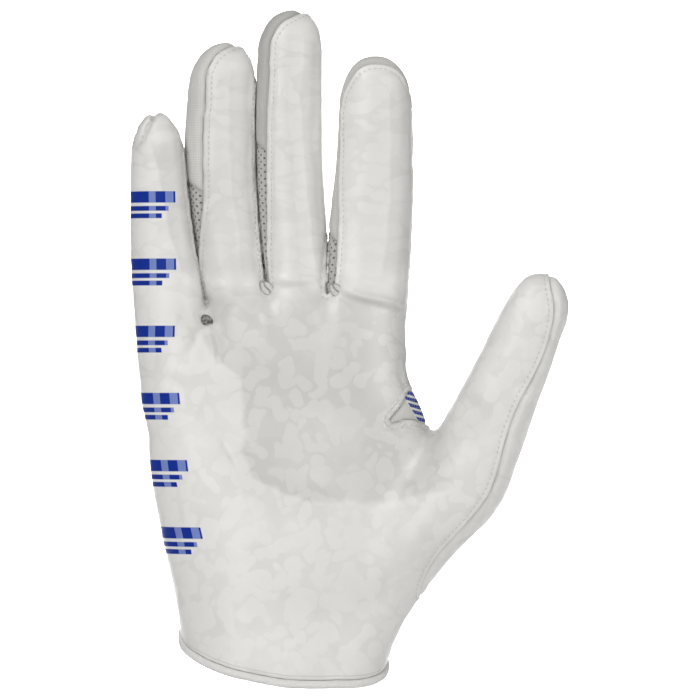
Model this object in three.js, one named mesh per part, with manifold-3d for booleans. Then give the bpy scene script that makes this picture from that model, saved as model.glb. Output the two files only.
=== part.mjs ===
// A right-hand football receiver glove in the form it has when worn: fingers up, palm towards -Y, thumb towards +X.
// Millimetres, +Z from the wrist to the fingertips. The origin is the centre of the wrist opening.
//
// The hand's outer form is a union of lofts: palm, four fingers and thumb. A second set of lofts, one cloth
// thickness inside, hollows it. Seam surfaces then divide the shell into the panels that are sewn together.
import * as THREE from "three";
import Module from "manifold-3d";
import { mergeVertices } from "three/addons/utils/BufferGeometryUtils.js";

// Cloth
const WALL = 1.5;
const SEAM_GAP = 0.3;

// Palm and wrist
const PALM_WIDTH = 94;
const PALM_LENGTH = 130.5;
const PALM_DEPTH = 33;
const WRIST_WIDTH = 73;
const WRIST_DEPTH = 48;

// Fingers
const FINGER_DEPTH = 20.5;
const FINGERTIP_LENGTH = 17;
const FINGER_ROOT = 95;

// Thumb
const THUMB_REACH_SIDE = 91;
const THUMB_REACH_UP = 134.5;
const THUMB_WIDTH = 24;
const THUMB_DEPTH = 22;
const THUMB_TIP_LENGTH = 12;

// Wrist hem: the back is cut higher than the palm, at this angle
const HEM_RISE_TO_BACK = 20;
const BINDING_HEIGHT = 3.4;
const BINDING_THICKNESS = 2.7;

// How finely the forms are divided
const PALM_SIDES = 36;
const PALM_RINGS = 17;
const FINGER_SIDES = 18;
const FINGER_RINGS = 7;
const TIP_RINGS = 4;
const THUMB_SIDES = 20;
const THUMB_RINGS = 9;
const LINING_SHARE = 0.67;

// Squareness of the sections: 2 is an ellipse, and more is squarer
const PALM_SQUARENESS = 2.5;
const FINGER_SQUARENESS = 2.35;

// Palm sections from below the hem to the webs. z is a share of the palm's length. Left and right are shares of
// the width, and front and back of the depth, which pass from the wrist's to the palm's as knuckles goes from 0 to 1.
// Hollow is the dent in the middle of the front. Arch lowers the section's two sides, as a share of the palm's length.
const PALM_SECTIONS = [
  { z: -0.25, knuckles: 0, left: -0.495, right: 0.465, front: 0.5, back: 0.48, hollow: 0, arch: 0 },
  { z: 0.0, knuckles: 0, left: -0.5, right: 0.475, front: 0.5, back: 0.47, hollow: 0, arch: 0 },
  { z: 0.14, knuckles: 0.2, left: -0.492, right: 0.5, front: 0.49, back: 0.45, hollow: 0, arch: 0 },
  { z: 0.33, knuckles: 0.55, left: -0.511, right: 0.5, front: 0.5, back: 0.45, hollow: 0.05, arch: 0 },
  { z: 0.558, knuckles: 0.9, left: -0.522, right: 0.59, front: 0.52, back: 0.47, hollow: 0.16, arch: 0 },
  { z: 0.653, knuckles: 1, left: -0.524, right: 0.514, front: 0.52, back: 0.48, hollow: 0.14, arch: 0.01 },
  { z: 0.767, knuckles: 1, left: -0.535, right: 0.449, front: 0.51, back: 0.48, hollow: 0.06, arch: 0.03 },
  { z: 0.852, knuckles: 1, left: -0.535, right: 0.436, front: 0.45, back: 0.44, hollow: 0, arch: 0.07 },
  { z: 0.93, knuckles: 1, left: -0.52, right: 0.42, front: 0.33, back: 0.33, hollow: 0, arch: 0.112 },
  { z: 0.98, knuckles: 1, left: -0.5, right: 0.4, front: 0.19, back: 0.2, hollow: 0, arch: 0.147 },
  { z: 1.0, knuckles: 1, left: -0.47, right: 0.38, front: 0.06, back: 0.06, hollow: 0, arch: 0.158 },
];
const ARCH_PEAK = 0.085;
const HOLLOW_SPREAD = 0.5;

// Fingers from the pinky to the index. Reach is the length from the root, inside the palm, to the tip.
// The three x values and the three widths, at the root, halfway and at the tip, are shares of the palm's width.
// rootY and tipY are shares of its depth. Roll is in degrees. pinkyFront and thumbFront place the palm panel's
// edge on the finger's two sides, and pinkyBack and thumbBack the back panel's, as shares of its half depth.
// sideTop is the share of the reach where the side strip ends.
const FINGERS = [
  { name: "pinky", reach: 96, rootX: -0.415, midX: -0.453, tipX: -0.478, rootY: -0.02, tipY: -0.3, roll: -6,
    rootWidth: 0.234, midWidth: 0.236, tipWidth: 0.194, pinkyFront: 0.35, thumbFront: -0.5, pinkyBack: 0.35,
    thumbBack: 0.4, sideTop: 0.5 },
  { name: "ring", reach: 120.5, rootX: -0.144, midX: -0.216, tipX: -0.229, rootY: 0, tipY: -0.18, roll: 16,
    rootWidth: 0.222, midWidth: 0.238, tipWidth: 0.262, pinkyFront: -0.78, thumbFront: -0.15, pinkyBack: 0.35,
    thumbBack: 0.4, sideTop: 0.57 },
  { name: "middle", reach: 132, rootX: 0.085, midX: 0.023, tipX: 0.026, rootY: 0.02, tipY: -0.12, roll: 14,
    rootWidth: 0.234, midWidth: 0.236, tipWidth: 0.248, pinkyFront: -0.74, thumbFront: -0.2, pinkyBack: 0.35,
    thumbBack: 0.4, sideTop: 0.63 },
  { name: "index", reach: 116, rootX: 0.319, midX: 0.317, tipX: 0.343, rootY: 0, tipY: -0.15, roll: 4,
    rootWidth: 0.245, midWidth: 0.3, tipWidth: 0.284, pinkyFront: -0.6, thumbFront: -0.35, pinkyBack: 0.35,
    thumbBack: -0.35, sideTop: 0.47 },
];
// A finger's depth from root to tip, as shares of the finger depth
const FINGER_DEPTHS = [{ deep: 1 }, { deep: 1.14 }, { deep: 1.04 }, { deep: 0.99 }, { deep: 0.95 }, { deep: 0.86 }];

// Thumb sections from inside the heel of the hand to the tip's base. x and z are shares of the thumb's reach to the
// side and up, y is a share of the palm's depth, and width and depth are shares of the thumb's. The widths at the
// heel are those of the ball of the thumb.
const THUMB_SECTIONS = [
  { x: 0.21, z: -0.03, y: -0.01, width: 0.86, depth: 1.2 },
  { x: 0.333, z: 0.152, y: -0.05, width: 1.06, depth: 1.42 },
  { x: 0.474, z: 0.294, y: -0.11, width: 1.17, depth: 1.42 },
  { x: 0.625, z: 0.434, y: -0.16, width: 1.27, depth: 1.34 },
  { x: 0.724, z: 0.542, y: -0.2, width: 1.31, depth: 1.2 },
  { x: 0.815, z: 0.665, y: -0.24, width: 1.19, depth: 1.08 },
  { x: 0.9, z: 0.79, y: -0.28, width: 1.07, depth: 0.98 },
  { x: 0.967, z: 0.912, y: -0.31, width: 0.96, depth: 0.88 },
];

// Where the panels meet. Depths are shares of the palm's half depth.
const SIDE_SEAM = 0.18;
const WEB_FRONT = -0.38;
const WEB_BACK = 0.34;
const ZONE_BASE = 0.84;
const ZONE_BLEND = 1.1;
// The fork and the start of the thumb's own seam, as shares of the thumb's reach to the side and up
const FORK = 0.6;
const THUMB_SPLIT = 0.45;
// Thumb's back seam from the wrist to the tip: z is a share of the thumb's reach up
const THUMB_SEAM = [
  { z: -0.35, palmSide: 0.18, outer: 0.18 },
  { z: 0.15, palmSide: 0.18, outer: 0.22 },
  { z: 0.4, palmSide: 0.1, outer: 0.2 },
  { z: 0.62, palmSide: -0.5, outer: -0.1 },
  { z: 0.95, palmSide: -0.75, outer: -0.35 },
  { z: 1.15, palmSide: -0.75, outer: -0.35 },
];
// The strip along the thumb's outer side: its front edge, as shares of the thumb's reach to the side and up
const STRIP_EDGE = [
  { x: 0.48, z: 0.13 },
  { x: 0.508, z: 0.168 },
  { x: 0.554, z: 0.22 },
  { x: 0.65, z: 0.311 },
  { x: 0.746, z: 0.389 },
  { x: 0.806, z: 0.455 },
  { x: 0.858, z: 0.624 },
  { x: 0.965, z: 0.754 },
  { x: 1.01, z: 0.832 },
  { x: 1.033, z: 0.91 },
  { x: 1.015, z: 0.98 },
  { x: 1.0, z: 1.06 },
];
// The gusset in the fork of the thumb: the notch that it fills in the palm panel, in the same shares
const GUSSET_EDGE = [
  { x: 0.575, z: 0.59 },
  { x: 0.49, z: 0.592 },
  { x: 0.401, z: 0.606 },
  { x: 0.432, z: 0.65 },
  { x: 0.468, z: 0.717 },
  { x: 0.63, z: 0.717 },
];
// Height of the hem below the middle of the wrist's depth, from the pinky side to the thumb side.
// x is a share of the wrist's width and z of the palm's length.
const HEM_LINE = [
  { x: -3, z: 0.12 },
  { x: -0.5, z: 0.05 },
  { x: -0.25, z: 0.021 },
  { x: 0, z: 0 },
  { x: 0.25, z: -0.009 },
  { x: 0.5, z: -0.035 },
  { x: 3, z: -0.15 },
];

const wasm = await Module();
wasm.setup();

const FAR = 2.5 * PALM_LENGTH;

// Catmull-Rom through the rows of a table, one column at a time
function rowAt(rows, share) {
  const place = THREE.MathUtils.clamp(share, 0, 1) * (rows.length - 1);
  const i = Math.min(Math.floor(place), rows.length - 2);
  const t = place - i;
  const row = {};
  for (const column of Object.keys(rows[0])) {
    const value = (k) => rows[THREE.MathUtils.clamp(k, 0, rows.length - 1)][column];
    const [p0, p1, p2, p3] = [value(i - 1), value(i), value(i + 1), value(i + 2)];
    row[column] =
      0.5 * (2 * p1 + (p2 - p0) * t + (2 * p0 - 5 * p1 + 4 * p2 - p3) * t * t + (3 * p1 - p0 - 3 * p2 + p3) * t ** 3);
  }
  return row;
}

// The curve through three values at shares 0, a half and 1
const throughThree = (root, mid, tip, t) => root * (1 - t) * (1 - 2 * t) + mid * 4 * t * (1 - t) + tip * t * (2 * t - 1);

// A point of the unit superellipse
function superellipse(turn, squareness) {
  const [c, s] = [Math.cos(turn), Math.sin(turn)];
  return [Math.sign(c) * Math.abs(c) ** (2 / squareness), Math.sign(s) * Math.abs(s) ** (2 / squareness)];
}

function manifoldOf(geometry) {
  const bare = geometry.index ? geometry.toNonIndexed() : geometry;
  bare.deleteAttribute("normal");
  bare.deleteAttribute("uv");
  const merged = mergeVertices(bare, 1e-4);
  return new wasm.Manifold(
    new wasm.Mesh({
      numProp: 3,
      vertProperties: merged.attributes.position.array,
      triVerts: new Uint32Array(merged.index.array),
    }),
  );
}

// A closed solid through rings of points, which go anticlockwise as seen from the last ring
function loft(rings) {
  const sides = rings[0].length;
  const points = rings.flat();
  const faces = [];
  for (let j = 0; j + 1 < rings.length; j++)
    for (let i = 0; i < sides; i++) {
      const [a, b] = [j * sides + i, j * sides + ((i + 1) % sides)];
      faces.push(a, b, b + sides, a, b + sides, a + sides);
    }
  const middle = (ring) => ring.reduce((sum, p) => sum.add(p), new THREE.Vector3()).divideScalar(sides);
  const [low, high] = [points.length, points.length + 1];
  points.push(middle(rings[0]), middle(rings.at(-1)));
  const top = (rings.length - 1) * sides;
  for (let i = 0; i < sides; i++) {
    faces.push(low, (i + 1) % sides, i);
    faces.push(high, top + i, top + ((i + 1) % sides));
  }
  const geometry = new THREE.BufferGeometry().setFromPoints(points).setIndex(faces);
  return manifoldOf(geometry);
}

// Directions round a section. The lining side of the cloth has fewer.
function turns(sides, inset) {
  const count = inset > 0 ? Math.round(sides * LINING_SHARE) : sides;
  return Array.from({ length: count }, (_, i) => (2 * Math.PI * i) / count);
}

// The palm and wrist. Inset moves the surface inwards by that much.
function palmForm(inset) {
  const rings = [];
  for (let j = 0; j < PALM_RINGS; j++) {
    const row = rowAt(PALM_SECTIONS, j / (PALM_RINGS - 1));
    const width = THREE.MathUtils.lerp(WRIST_WIDTH, PALM_WIDTH, row.knuckles);
    const depth = THREE.MathUtils.lerp(WRIST_DEPTH, PALM_DEPTH, row.knuckles);
    const centre = ((row.left + row.right) / 2) * width;
    const half = Math.max(((row.right - row.left) / 2) * width - inset, WALL);
    const drop = row.z > 0.5 ? inset * (row.z - 0.5) * 2 : 0;
    rings.push(
      turns(PALM_SIDES, inset).map((turn) => {
        const [across, through] = superellipse(turn, PALM_SQUARENESS);
        const dent = through < 0 ? 1 - row.hollow * Math.exp(-((across / HOLLOW_SPREAD) ** 2)) : 1;
        const reach = through < 0 ? row.front * depth * dent : row.back * depth;
        const x = centre + half * across;
        const fromPeak = (x / PALM_WIDTH - ARCH_PEAK) * 2;
        const z = (row.z - row.arch * fromPeak ** 2) * PALM_LENGTH - drop;
        return new THREE.Vector3(x, Math.max(reach - inset, WALL / 2) * through, z);
      }),
    );
  }
  return loft(rings);
}

// Centre and half sizes of a finger at a share of its reach
function fingerAt(finger, t) {
  return {
    x: throughThree(finger.rootX, finger.midX, finger.tipX, t) * PALM_WIDTH,
    y: (finger.rootY + (finger.tipY - finger.rootY) * t * t) * PALM_DEPTH,
    half: (throughThree(finger.rootWidth, finger.midWidth, finger.tipWidth, t) * PALM_WIDTH) / 2,
    deep: (rowAt(FINGER_DEPTHS, t).deep * FINGER_DEPTH) / 2,
  };
}

function fingerForm(finger, inset) {
  const tipBase = finger.reach - FINGERTIP_LENGTH;
  const roll = THREE.MathUtils.degToRad(finger.roll);
  const ring = (along, shrink) => {
    const at = fingerAt(finger, along / finger.reach);
    return turns(FINGER_SIDES, inset).map((turn) => {
      const [across, through] = superellipse(turn, FINGER_SQUARENESS);
      const [u, v] = [(at.half - inset) * shrink * across, (at.deep - inset) * shrink * through];
      return new THREE.Vector3(
        at.x + u * Math.cos(roll) - v * Math.sin(roll),
        at.y + u * Math.sin(roll) + v * Math.cos(roll),
        FINGER_ROOT + along,
      );
    });
  };
  const rings = [];
  for (let j = 0; j < FINGER_RINGS; j++) rings.push(ring((tipBase * j) / FINGER_RINGS, 1));
  for (let j = 0; j <= TIP_RINGS; j++) {
    const angle = (Math.PI / 2) * (j / (TIP_RINGS + 0.35));
    rings.push(ring(tipBase + (FINGERTIP_LENGTH - inset) * Math.sin(angle), Math.cos(angle)));
  }
  return loft(rings);
}

function thumbForm(inset) {
  const place = (row) =>
    new THREE.Vector3(row.x * THUMB_REACH_SIDE, row.y * PALM_DEPTH, row.z * THUMB_REACH_UP);
  const ring = (share, beyond, shrink) => {
    const row = rowAt(THUMB_SECTIONS, share);
    const along = place(rowAt(THUMB_SECTIONS, Math.min(share + 0.04, 1)))
      .sub(place(rowAt(THUMB_SECTIONS, Math.min(share, 0.96))))
      .normalize();
    const across = new THREE.Vector3(along.z, 0, -along.x).normalize();
    const through = new THREE.Vector3().crossVectors(along, across);
    const centre = place(row).addScaledVector(along, beyond);
    return turns(THUMB_SIDES, inset).map((turn) => {
      const [u, v] = superellipse(turn, FINGER_SQUARENESS);
      return centre
        .clone()
        .addScaledVector(across, ((row.width * THUMB_WIDTH) / 2 - inset) * shrink * u)
        .addScaledVector(through, ((row.depth * THUMB_DEPTH) / 2 - inset) * shrink * v);
    });
  };
  const rings = [];
  for (let j = 0; j < THUMB_RINGS; j++) rings.push(ring(j / THUMB_RINGS, 0, 1));
  for (let j = 0; j <= TIP_RINGS; j++) {
    const angle = (Math.PI / 2) * (j / (TIP_RINGS + 0.35));
    rings.push(ring(1, (THUMB_TIP_LENGTH - inset) * Math.sin(angle), Math.cos(angle)));
  }
  return loft(rings);
}

function handForm(inset) {
  let form = palmForm(inset).add(thumbForm(inset));
  for (const finger of FINGERS) form = form.add(fingerForm(finger, inset));
  return form;
}

// Everything above the hem, raised by that much
function aboveHem(raise) {
  const slope = Math.tan(THREE.MathUtils.degToRad(HEM_RISE_TO_BACK));
  return loft(
    HEM_LINE.map((row) => {
      const [x, z] = [row.x * WRIST_WIDTH, row.z * PALM_LENGTH + raise];
      return [
        new THREE.Vector3(x, -FAR, z - slope * FAR),
        new THREE.Vector3(x, FAR, z + slope * FAR),
        new THREE.Vector3(x, FAR, 2 * FAR),
        new THREE.Vector3(x, -FAR, 2 * FAR),
      ];
    }),
  );
}

// A solid from the far front to a seam surface. Each row is {z, left, right, yLeft, yRight}.
function beforeSeam(rows) {
  const ring = (row) =>
    [
      [row.left, -FAR],
      [row.right, -FAR],
      [row.right, row.yRight],
      [row.left, row.yLeft],
    ].map(([x, y]) => new THREE.Vector3(x, y, row.z));
  return loft(rows.map(ring));
}

const HALF_DEEP = PALM_DEPTH / 2;
const LAP = 0.02;

// The line between two neighbouring fingers at a share of the finger's reach, halfway between their sides
function gapX(i, z) {
  if (i < 0) return -FAR;
  const last = FINGERS.length - 1;
  const at = (k) => fingerAt(FINGERS[k], THREE.MathUtils.clamp((z - FINGER_ROOT) / FINGERS[k].reach, 0, 1));
  if (i === last) return at(last).x + at(last).half + THUMB_WIDTH / 3;
  return (at(i).x + at(i).half + at(i + 1).x - at(i + 1).half) / 2;
}

// Seam rows of one finger: front is the palm panel's edge, and otherwise the back panel's edge
function fingerSeam(i, front) {
  const finger = FINGERS[i];
  const last = FINGERS.length - 1;
  const top = finger.sideTop * finger.reach + FINGER_ROOT;
  const webLevel = (front ? WEB_FRONT : WEB_BACK) * HALF_DEEP;
  const level = (z, column) => {
    const at = fingerAt(finger, THREE.MathUtils.clamp((z - FINGER_ROOT) / finger.reach, 0, 1));
    return at.y + finger[column] * at.deep;
  };
  const row = (z, asFront) => ({
    z,
    left: gapX(i - 1, z) - LAP,
    right: gapX(i, z) + LAP,
    yLeft: level(z, asFront ? "pinkyFront" : "pinkyBack"),
    yRight: level(z, asFront ? "thumbFront" : "thumbBack"),
  });
  const base = row(ZONE_BASE * PALM_LENGTH, front);
  base.yLeft = i === 0 ? SIDE_SEAM * HALF_DEEP : webLevel;
  base.yRight = i === last ? level(base.z, "thumbFront") : webLevel;
  const rows = [base, row(ZONE_BLEND * PALM_LENGTH, front)];
  rows.push(row(top - WALL, front), row(top + WALL, true));
  rows.push(row(FINGER_ROOT + finger.reach * 0.85, true), row(FINGER_ROOT + finger.reach + WALL, true));
  return rows;
}

// Seam rows of the palm on the pinky side, and of the palm from its middle to the fork of the thumb
function pinkySideSeam() {
  const y = SIDE_SEAM * HALF_DEEP;
  const row = (z) => ({ z, left: -FAR, right: LAP, yLeft: y, yRight: y });
  return [row(-FAR), row(ZONE_BASE * PALM_LENGTH + LAP)];
}

function indexSideSeam() {
  const y = SIDE_SEAM * HALF_DEEP;
  const index = FINGERS.at(-1);
  const atIndex = fingerAt(index, 0);
  const row = (z, yRight) => ({ z, left: 0, right: FORK * THUMB_REACH_SIDE, yLeft: y, yRight });
  return [
    row(-FAR, y),
    row(THUMB_SPLIT * THUMB_REACH_UP, y),
    row(ZONE_BASE * PALM_LENGTH + LAP, atIndex.y + index.thumbFront * atIndex.deep),
  ];
}

// Seam rows of the thumb: above the split, only what is beyond the fork belongs to it
function thumbSeam() {
  return THUMB_SEAM.map((row) => ({
    z: row.z * THUMB_REACH_UP,
    left: row.z < THUMB_SPLIT ? 0 : FORK * THUMB_REACH_SIDE - LAP,
    right: FAR,
    yLeft: row.palmSide * HALF_DEEP,
    yRight: row.outer * HALF_DEEP,
  }));
}

// All that lies in front of the palm panel's edges
function frontRegion() {
  let region = beforeSeam(pinkySideSeam()).add(beforeSeam(indexSideSeam())).add(beforeSeam(thumbSeam()));
  FINGERS.forEach((finger, i) => {
    region = region.add(beforeSeam(fingerSeam(i, true)));
  });
  return region;
}

// All that lies in front of the back panel's edges: the same, and the sides of the fingers
function sideRegion(front) {
  let region = front;
  FINGERS.forEach((finger, i) => {
    region = region.add(beforeSeam(fingerSeam(i, false)));
  });
  return region;
}

// A region with the gap of a seam added behind it and above it
const withGap = (region) =>
  region
    .add(region.translate([0, SEAM_GAP, 0]))
    .add(region.translate([0, 0, SEAM_GAP]))
    .add(region.translate([0, SEAM_GAP, SEAM_GAP]));

// A prism along Y whose outline, in x and z, is given as shares of the thumb's reach. Grow widens it all round.
function thumbPrism(outline, grow) {
  const points = outline.map((p) => new THREE.Vector2(p.x * THUMB_REACH_SIDE, p.z * THUMB_REACH_UP));
  const shape = new THREE.Shape(points.map((p, i) => grownCorner(points, i, grow) ?? p));
  const slab = new THREE.ExtrudeGeometry(shape, { depth: 2 * FAR, bevelEnabled: false, curveSegments: 1 });
  slab.rotateX(Math.PI / 2);
  slab.translate(0, FAR, 0);
  return manifoldOf(slab);
}

// A corner of a closed outline, moved outwards by grow from both of its edges
function grownCorner(points, i, grow) {
  const count = points.length;
  const [before, here, after] = [points[(i + count - 1) % count], points[i], points[(i + 1) % count]];
  const outward = (a, b) => new THREE.Vector2(b.y - a.y, a.x - b.x).normalize();
  const [n1, n2] = [outward(before, here), outward(here, after)];
  const sign = THREE.ShapeUtils.isClockWise(points) ? -1 : 1;
  const bisector = n1.clone().add(n2).normalize();
  return here.clone().addScaledVector(bisector, (sign * grow) / Math.max(bisector.dot(n1), 0.5));
}

// The strip's outline: its front edge, closed by far corners outside the thumb
const STRIP_OUTLINE = [...STRIP_EDGE, { x: 1.5, z: 1.06 }, { x: 1.5, z: 0.135 }];

// The largest body of a solid, which drops crumbs that a cut leaves at a tip
const mainBody = (solid) => solid.decompose().sort((a, b) => b.volume() - a.volume())[0];

const outer = handForm(0);
const inner = handForm(WALL);
const shell = outer.subtract(inner).intersect(aboveHem(BINDING_HEIGHT + SEAM_GAP));

const strip = thumbPrism(STRIP_OUTLINE, 0);
const gusset = thumbPrism(GUSSET_EDGE, 0);
const front = frontRegion();
const frontAndSides = sideRegion(front);

const palmPanel = shell
  .intersect(front)
  .subtract(thumbPrism(STRIP_OUTLINE, SEAM_GAP))
  .subtract(thumbPrism(GUSSET_EDGE, SEAM_GAP));
const backPanel = shell.subtract(withGap(frontAndSides));
const thumbStrip = shell.intersect(front).intersect(strip);
const thumbGusset = shell.intersect(front).intersect(gusset).subtract(thumbPrism(STRIP_OUTLINE, SEAM_GAP));

const sides = shell.intersect(frontAndSides).subtract(withGap(front));
function fourchette(i) {
  const [a, b] = [fingerAt(FINGERS[i], 0), fingerAt(FINGERS[i + 1], 0)];
  const box = new THREE.BoxGeometry(b.x - a.x, 2 * FAR, FAR);
  box.translate((a.x + b.x) / 2, 0, ZONE_BASE * PALM_LENGTH + FAR / 2);
  return sides.intersect(manifoldOf(box));
}

const proud = (BINDING_THICKNESS - WALL) / 2;
const bindingRing = palmForm(-proud).subtract(palmForm(WALL + proud));
const cuffBinding = bindingRing.intersect(aboveHem(0)).subtract(aboveHem(BINDING_HEIGHT));

const material = (color, roughness) => new THREE.MeshStandardMaterial({ color, roughness, metalness: 0 });
const FILM = material(0xdcdbd7, 0.38);
const KNIT = material(0xd3d2cd, 0.85);
const PERFORATED = material(0xb4b3ab, 0.75);
const TAPE = material(0xdcdad6, 0.6);

const PANELS = {
  palm_panel: [palmPanel, FILM],
  back_panel: [backPanel, KNIT],
  fourchette_pinky_ring: [fourchette(0), PERFORATED],
  fourchette_ring_middle: [fourchette(1), PERFORATED],
  fourchette_middle_index: [fourchette(2), PERFORATED],
  thumb_gusset: [thumbGusset, PERFORATED],
  thumb_side_strip: [thumbStrip, FILM],
  cuff_binding: [cuffBinding, TAPE],
};

const glove = new THREE.Group();
for (const [name, [solid, finish]] of Object.entries(PANELS)) {
  const { vertProperties, triVerts } = mainBody(solid).getMesh();
  const geometry = new THREE.BufferGeometry()
    .setAttribute("position", new THREE.BufferAttribute(vertProperties, 3))
    .setIndex(new THREE.BufferAttribute(triVerts, 1));
  geometry.computeVertexNormals();
  const mesh = new THREE.Mesh(geometry, finish);
  mesh.name = name;
  glove.add(mesh);
}

export default glove;
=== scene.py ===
"""Football receiver glove, dressed for the render.

The sewn panels are cut from one smooth form of the filled glove, thickened to cloth, and finished with raised
seam edges, topstitching, perforations and a mottled film print. Lengths are in mm until a mesh is made.
"""
import math
from functools import lru_cache

import bpy
import numpy as np
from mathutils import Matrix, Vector, kdtree


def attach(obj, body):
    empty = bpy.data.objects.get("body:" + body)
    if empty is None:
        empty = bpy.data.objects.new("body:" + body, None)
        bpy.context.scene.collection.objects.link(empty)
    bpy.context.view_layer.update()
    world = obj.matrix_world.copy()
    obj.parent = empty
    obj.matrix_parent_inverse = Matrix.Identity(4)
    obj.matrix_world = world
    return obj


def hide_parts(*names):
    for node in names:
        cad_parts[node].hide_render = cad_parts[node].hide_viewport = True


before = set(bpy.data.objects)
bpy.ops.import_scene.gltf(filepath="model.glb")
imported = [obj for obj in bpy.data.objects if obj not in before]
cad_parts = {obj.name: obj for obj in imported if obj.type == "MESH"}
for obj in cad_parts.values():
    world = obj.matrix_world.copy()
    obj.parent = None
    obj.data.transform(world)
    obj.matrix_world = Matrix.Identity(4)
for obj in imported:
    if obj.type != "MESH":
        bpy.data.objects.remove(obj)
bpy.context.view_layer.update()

bl_info = {
    "name": "Receiver glove",
    "version": (1, 0, 0),
    "blender": (4, 5, 0),
    "location": "3D view > Sidebar > Glove",
    "description": "Builds the panels, seams and finishes of a football receiver glove",
    "category": "Object",
}

MM = 0.001


def table(columns, *rows):
    """The rows of a table, each with the columns named"""
    return [dict(zip(columns.split(), row)) for row in rows]


# Palm sections from below the hem to the webs. z is a share of the palm's length. Left and right are shares
# of the width, which passes from the wrist's to the palm's as knuckles goes from 0 to 1, and front and back
# of the depth. Dish is the hollow in the middle of the front. Arch lowers a section's two sides, as a share
# of the length.
PALM_SECTIONS = table(
    "z knuckles left right front back dish arch",
    (-0.25, 0, -0.495, 0.465, 0.5, 0.48, 0, 0),
    (0.0, 0, -0.5, 0.475, 0.5, 0.47, 0, 0),
    (0.14, 0.2, -0.492, 0.49, 0.49, 0.45, 0, 0),
    (0.33, 0.55, -0.511, 0.5, 0.5, 0.45, 0.03, 0),
    (0.558, 0.9, -0.522, 0.57, 0.52, 0.47, 0.14, 0),
    (0.653, 1, -0.511, 0.514, 0.52, 0.48, 0.15, 0),
    (0.767, 1, -0.517, 0.448, 0.51, 0.48, 0.08, 0),
    (0.852, 1, -0.522, 0.432, 0.47, 0.46, 0, 0.05),
    (1.0, 1, -0.525, 0.42, 0.42, 0.42, 0, 0.13),
)
ARCH_PEAK = 0.085
PALM_CAP_START = 0.84

# Fingers from the pinky to the index. Reach is in mm. x and width at the root, halfway and at the tip are
# shares of the palm's width, y at the root and the tip of its depth, and roll is in degrees. The seams are
# shares of the half depth: left is the palm panel's edge at the root, halfway and below the tip, tip its
# edge over the tip from left to right, and back the back panel's edge on the two sides, which ends at top
# as a share of the reach.
FINGERS = table(
    "name reach x y roll width left right tip back top",
    ("pinky", 96, (-0.391, -0.451, -0.479), (-0.02, -0.3), -6, (0.288, 0.25, 0.165),
     (0.35, 0.35, 0.3), 0.25, (-0.1, -0.1, 0.0, 0.1, 0.1), (0.35, 0.6), 0.52),
    ("ring", 120.5, (-0.088, -0.231, -0.219), (0.0, -0.18), 14, (0.196, 0.262, 0.238),
     (0.15, -0.68, -0.84), 0.3, (-0.8, -0.66, -0.52, -0.05, 0.25), (0.35, 0.65), 0.6),
    ("middle", 132, (0.096, 0.017, 0.023), (0.02, -0.12), 12, (0.262, 0.254, 0.24),
     (-0.42, -0.62, -0.72), 0.3, (-0.72, -0.66, -0.58, -0.12, 0.25), (0.35, 0.65), 0.65),
    ("index", 116, (0.244, 0.3155, 0.333), (0.0, -0.15), 3, (0.34, 0.307, 0.245),
     (-0.76, -0.65, -0.3), 0.1, (-0.52, -0.6, -0.62, -0.58, -0.42), (0.35, 0.1), 0.47),
)
# Depth of a finger from its root to its tip, as shares of the finger depth
FINGER_DEPTHS = (1.0, 1.14, 1.04, 0.99, 0.95, 0.86)
# The hand's outer side, the webs between neighbouring fingers and the thumb's side: height as a share of
# the palm's length, and depth in mm of the palm panel's and the back panel's edges there
WEBS = (0.79, 0.905, 0.996, 0.99, 0.81)
WEB_FRONT = (3.0, -9.6, -7.2, -8.2, 0.5)
WEB_BACK = (3.0, 5.6, 5.6, 5.6, 0.5)

# Level sections of the thumb. z is a share of its reach up, x of its reach to the side, half of its half
# width, y of the palm's depth and deep of the thumb's half depth.
THUMB_SECTIONS = table(
    "z x half y deep",
    (-0.24, 0.21, 0.92, 0.0, 1.0),
    (-0.11, 0.215, 0.97, 0.0, 1.08),
    (0.009, 0.235, 1.1, -0.01, 1.2),
    (0.134, 0.328, 1.2, -0.045, 1.38),
    (0.259, 0.443, 1.39, -0.09, 1.44),
    (0.384, 0.588, 1.64, -0.14, 1.4),
    (0.509, 0.695, 1.44, -0.18, 1.24),
    (0.602, 0.759, 1.32, -0.21, 1.14),
    (0.696, 0.825, 1.21, -0.24, 1.06),
    (0.821, 0.905, 1.09, -0.275, 0.98),
    (0.915, 0.957, 1.02, -0.31, 0.92),
    (1.01, 0.98, 0.95, -0.33, 0.86),
)
THUMB_CAP_START = 0.848
# Back seam of the thumb, as shares of its reach up and of the palm's half depth
THUMB_SEAM = table(
    "z inner outer",
    (-0.3, 0.18, 0.3),
    (0.15, 0.18, 0.32),
    (0.45, 0.05, 0.1),
    (0.62, -0.15, -0.08),
    (0.95, -0.32, -0.25),
    (1.15, -0.4, -0.3),
)
# The strips between the fingers
STRIPS = ("fourchette_pinky_ring", "fourchette_ring_middle", "fourchette_middle_index")
# Front edge of the strip along the thumb, as shares of the thumb's reach to the side and up
STRIP_EDGE = [
    (0.57, 0.09), (0.503, 0.165), (0.55, 0.241), (0.612, 0.298), (0.727, 0.378), (0.802, 0.455),
    (0.858, 0.624), (0.965, 0.754), (1.01, 0.832), (1.033, 0.91), (1.012, 0.975), (1.0, 1.08),
]
# Outline of the gusset in the fork, as the same shares
GUSSET_EDGE = [
    (0.3992, 0.6196), (0.3996, 0.6243), (0.4108, 0.6354), (0.4346, 0.6531), (0.4531, 0.6714),
    (0.4615, 0.6857), (0.4754, 0.7000), (0.5692, 0.7000), (0.5692, 0.6107), (0.5442, 0.6107),
    (0.5115, 0.6211), (0.4808, 0.6258), (0.4538, 0.6243), (0.4269, 0.6172), (0.4062, 0.6154),
]
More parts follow.
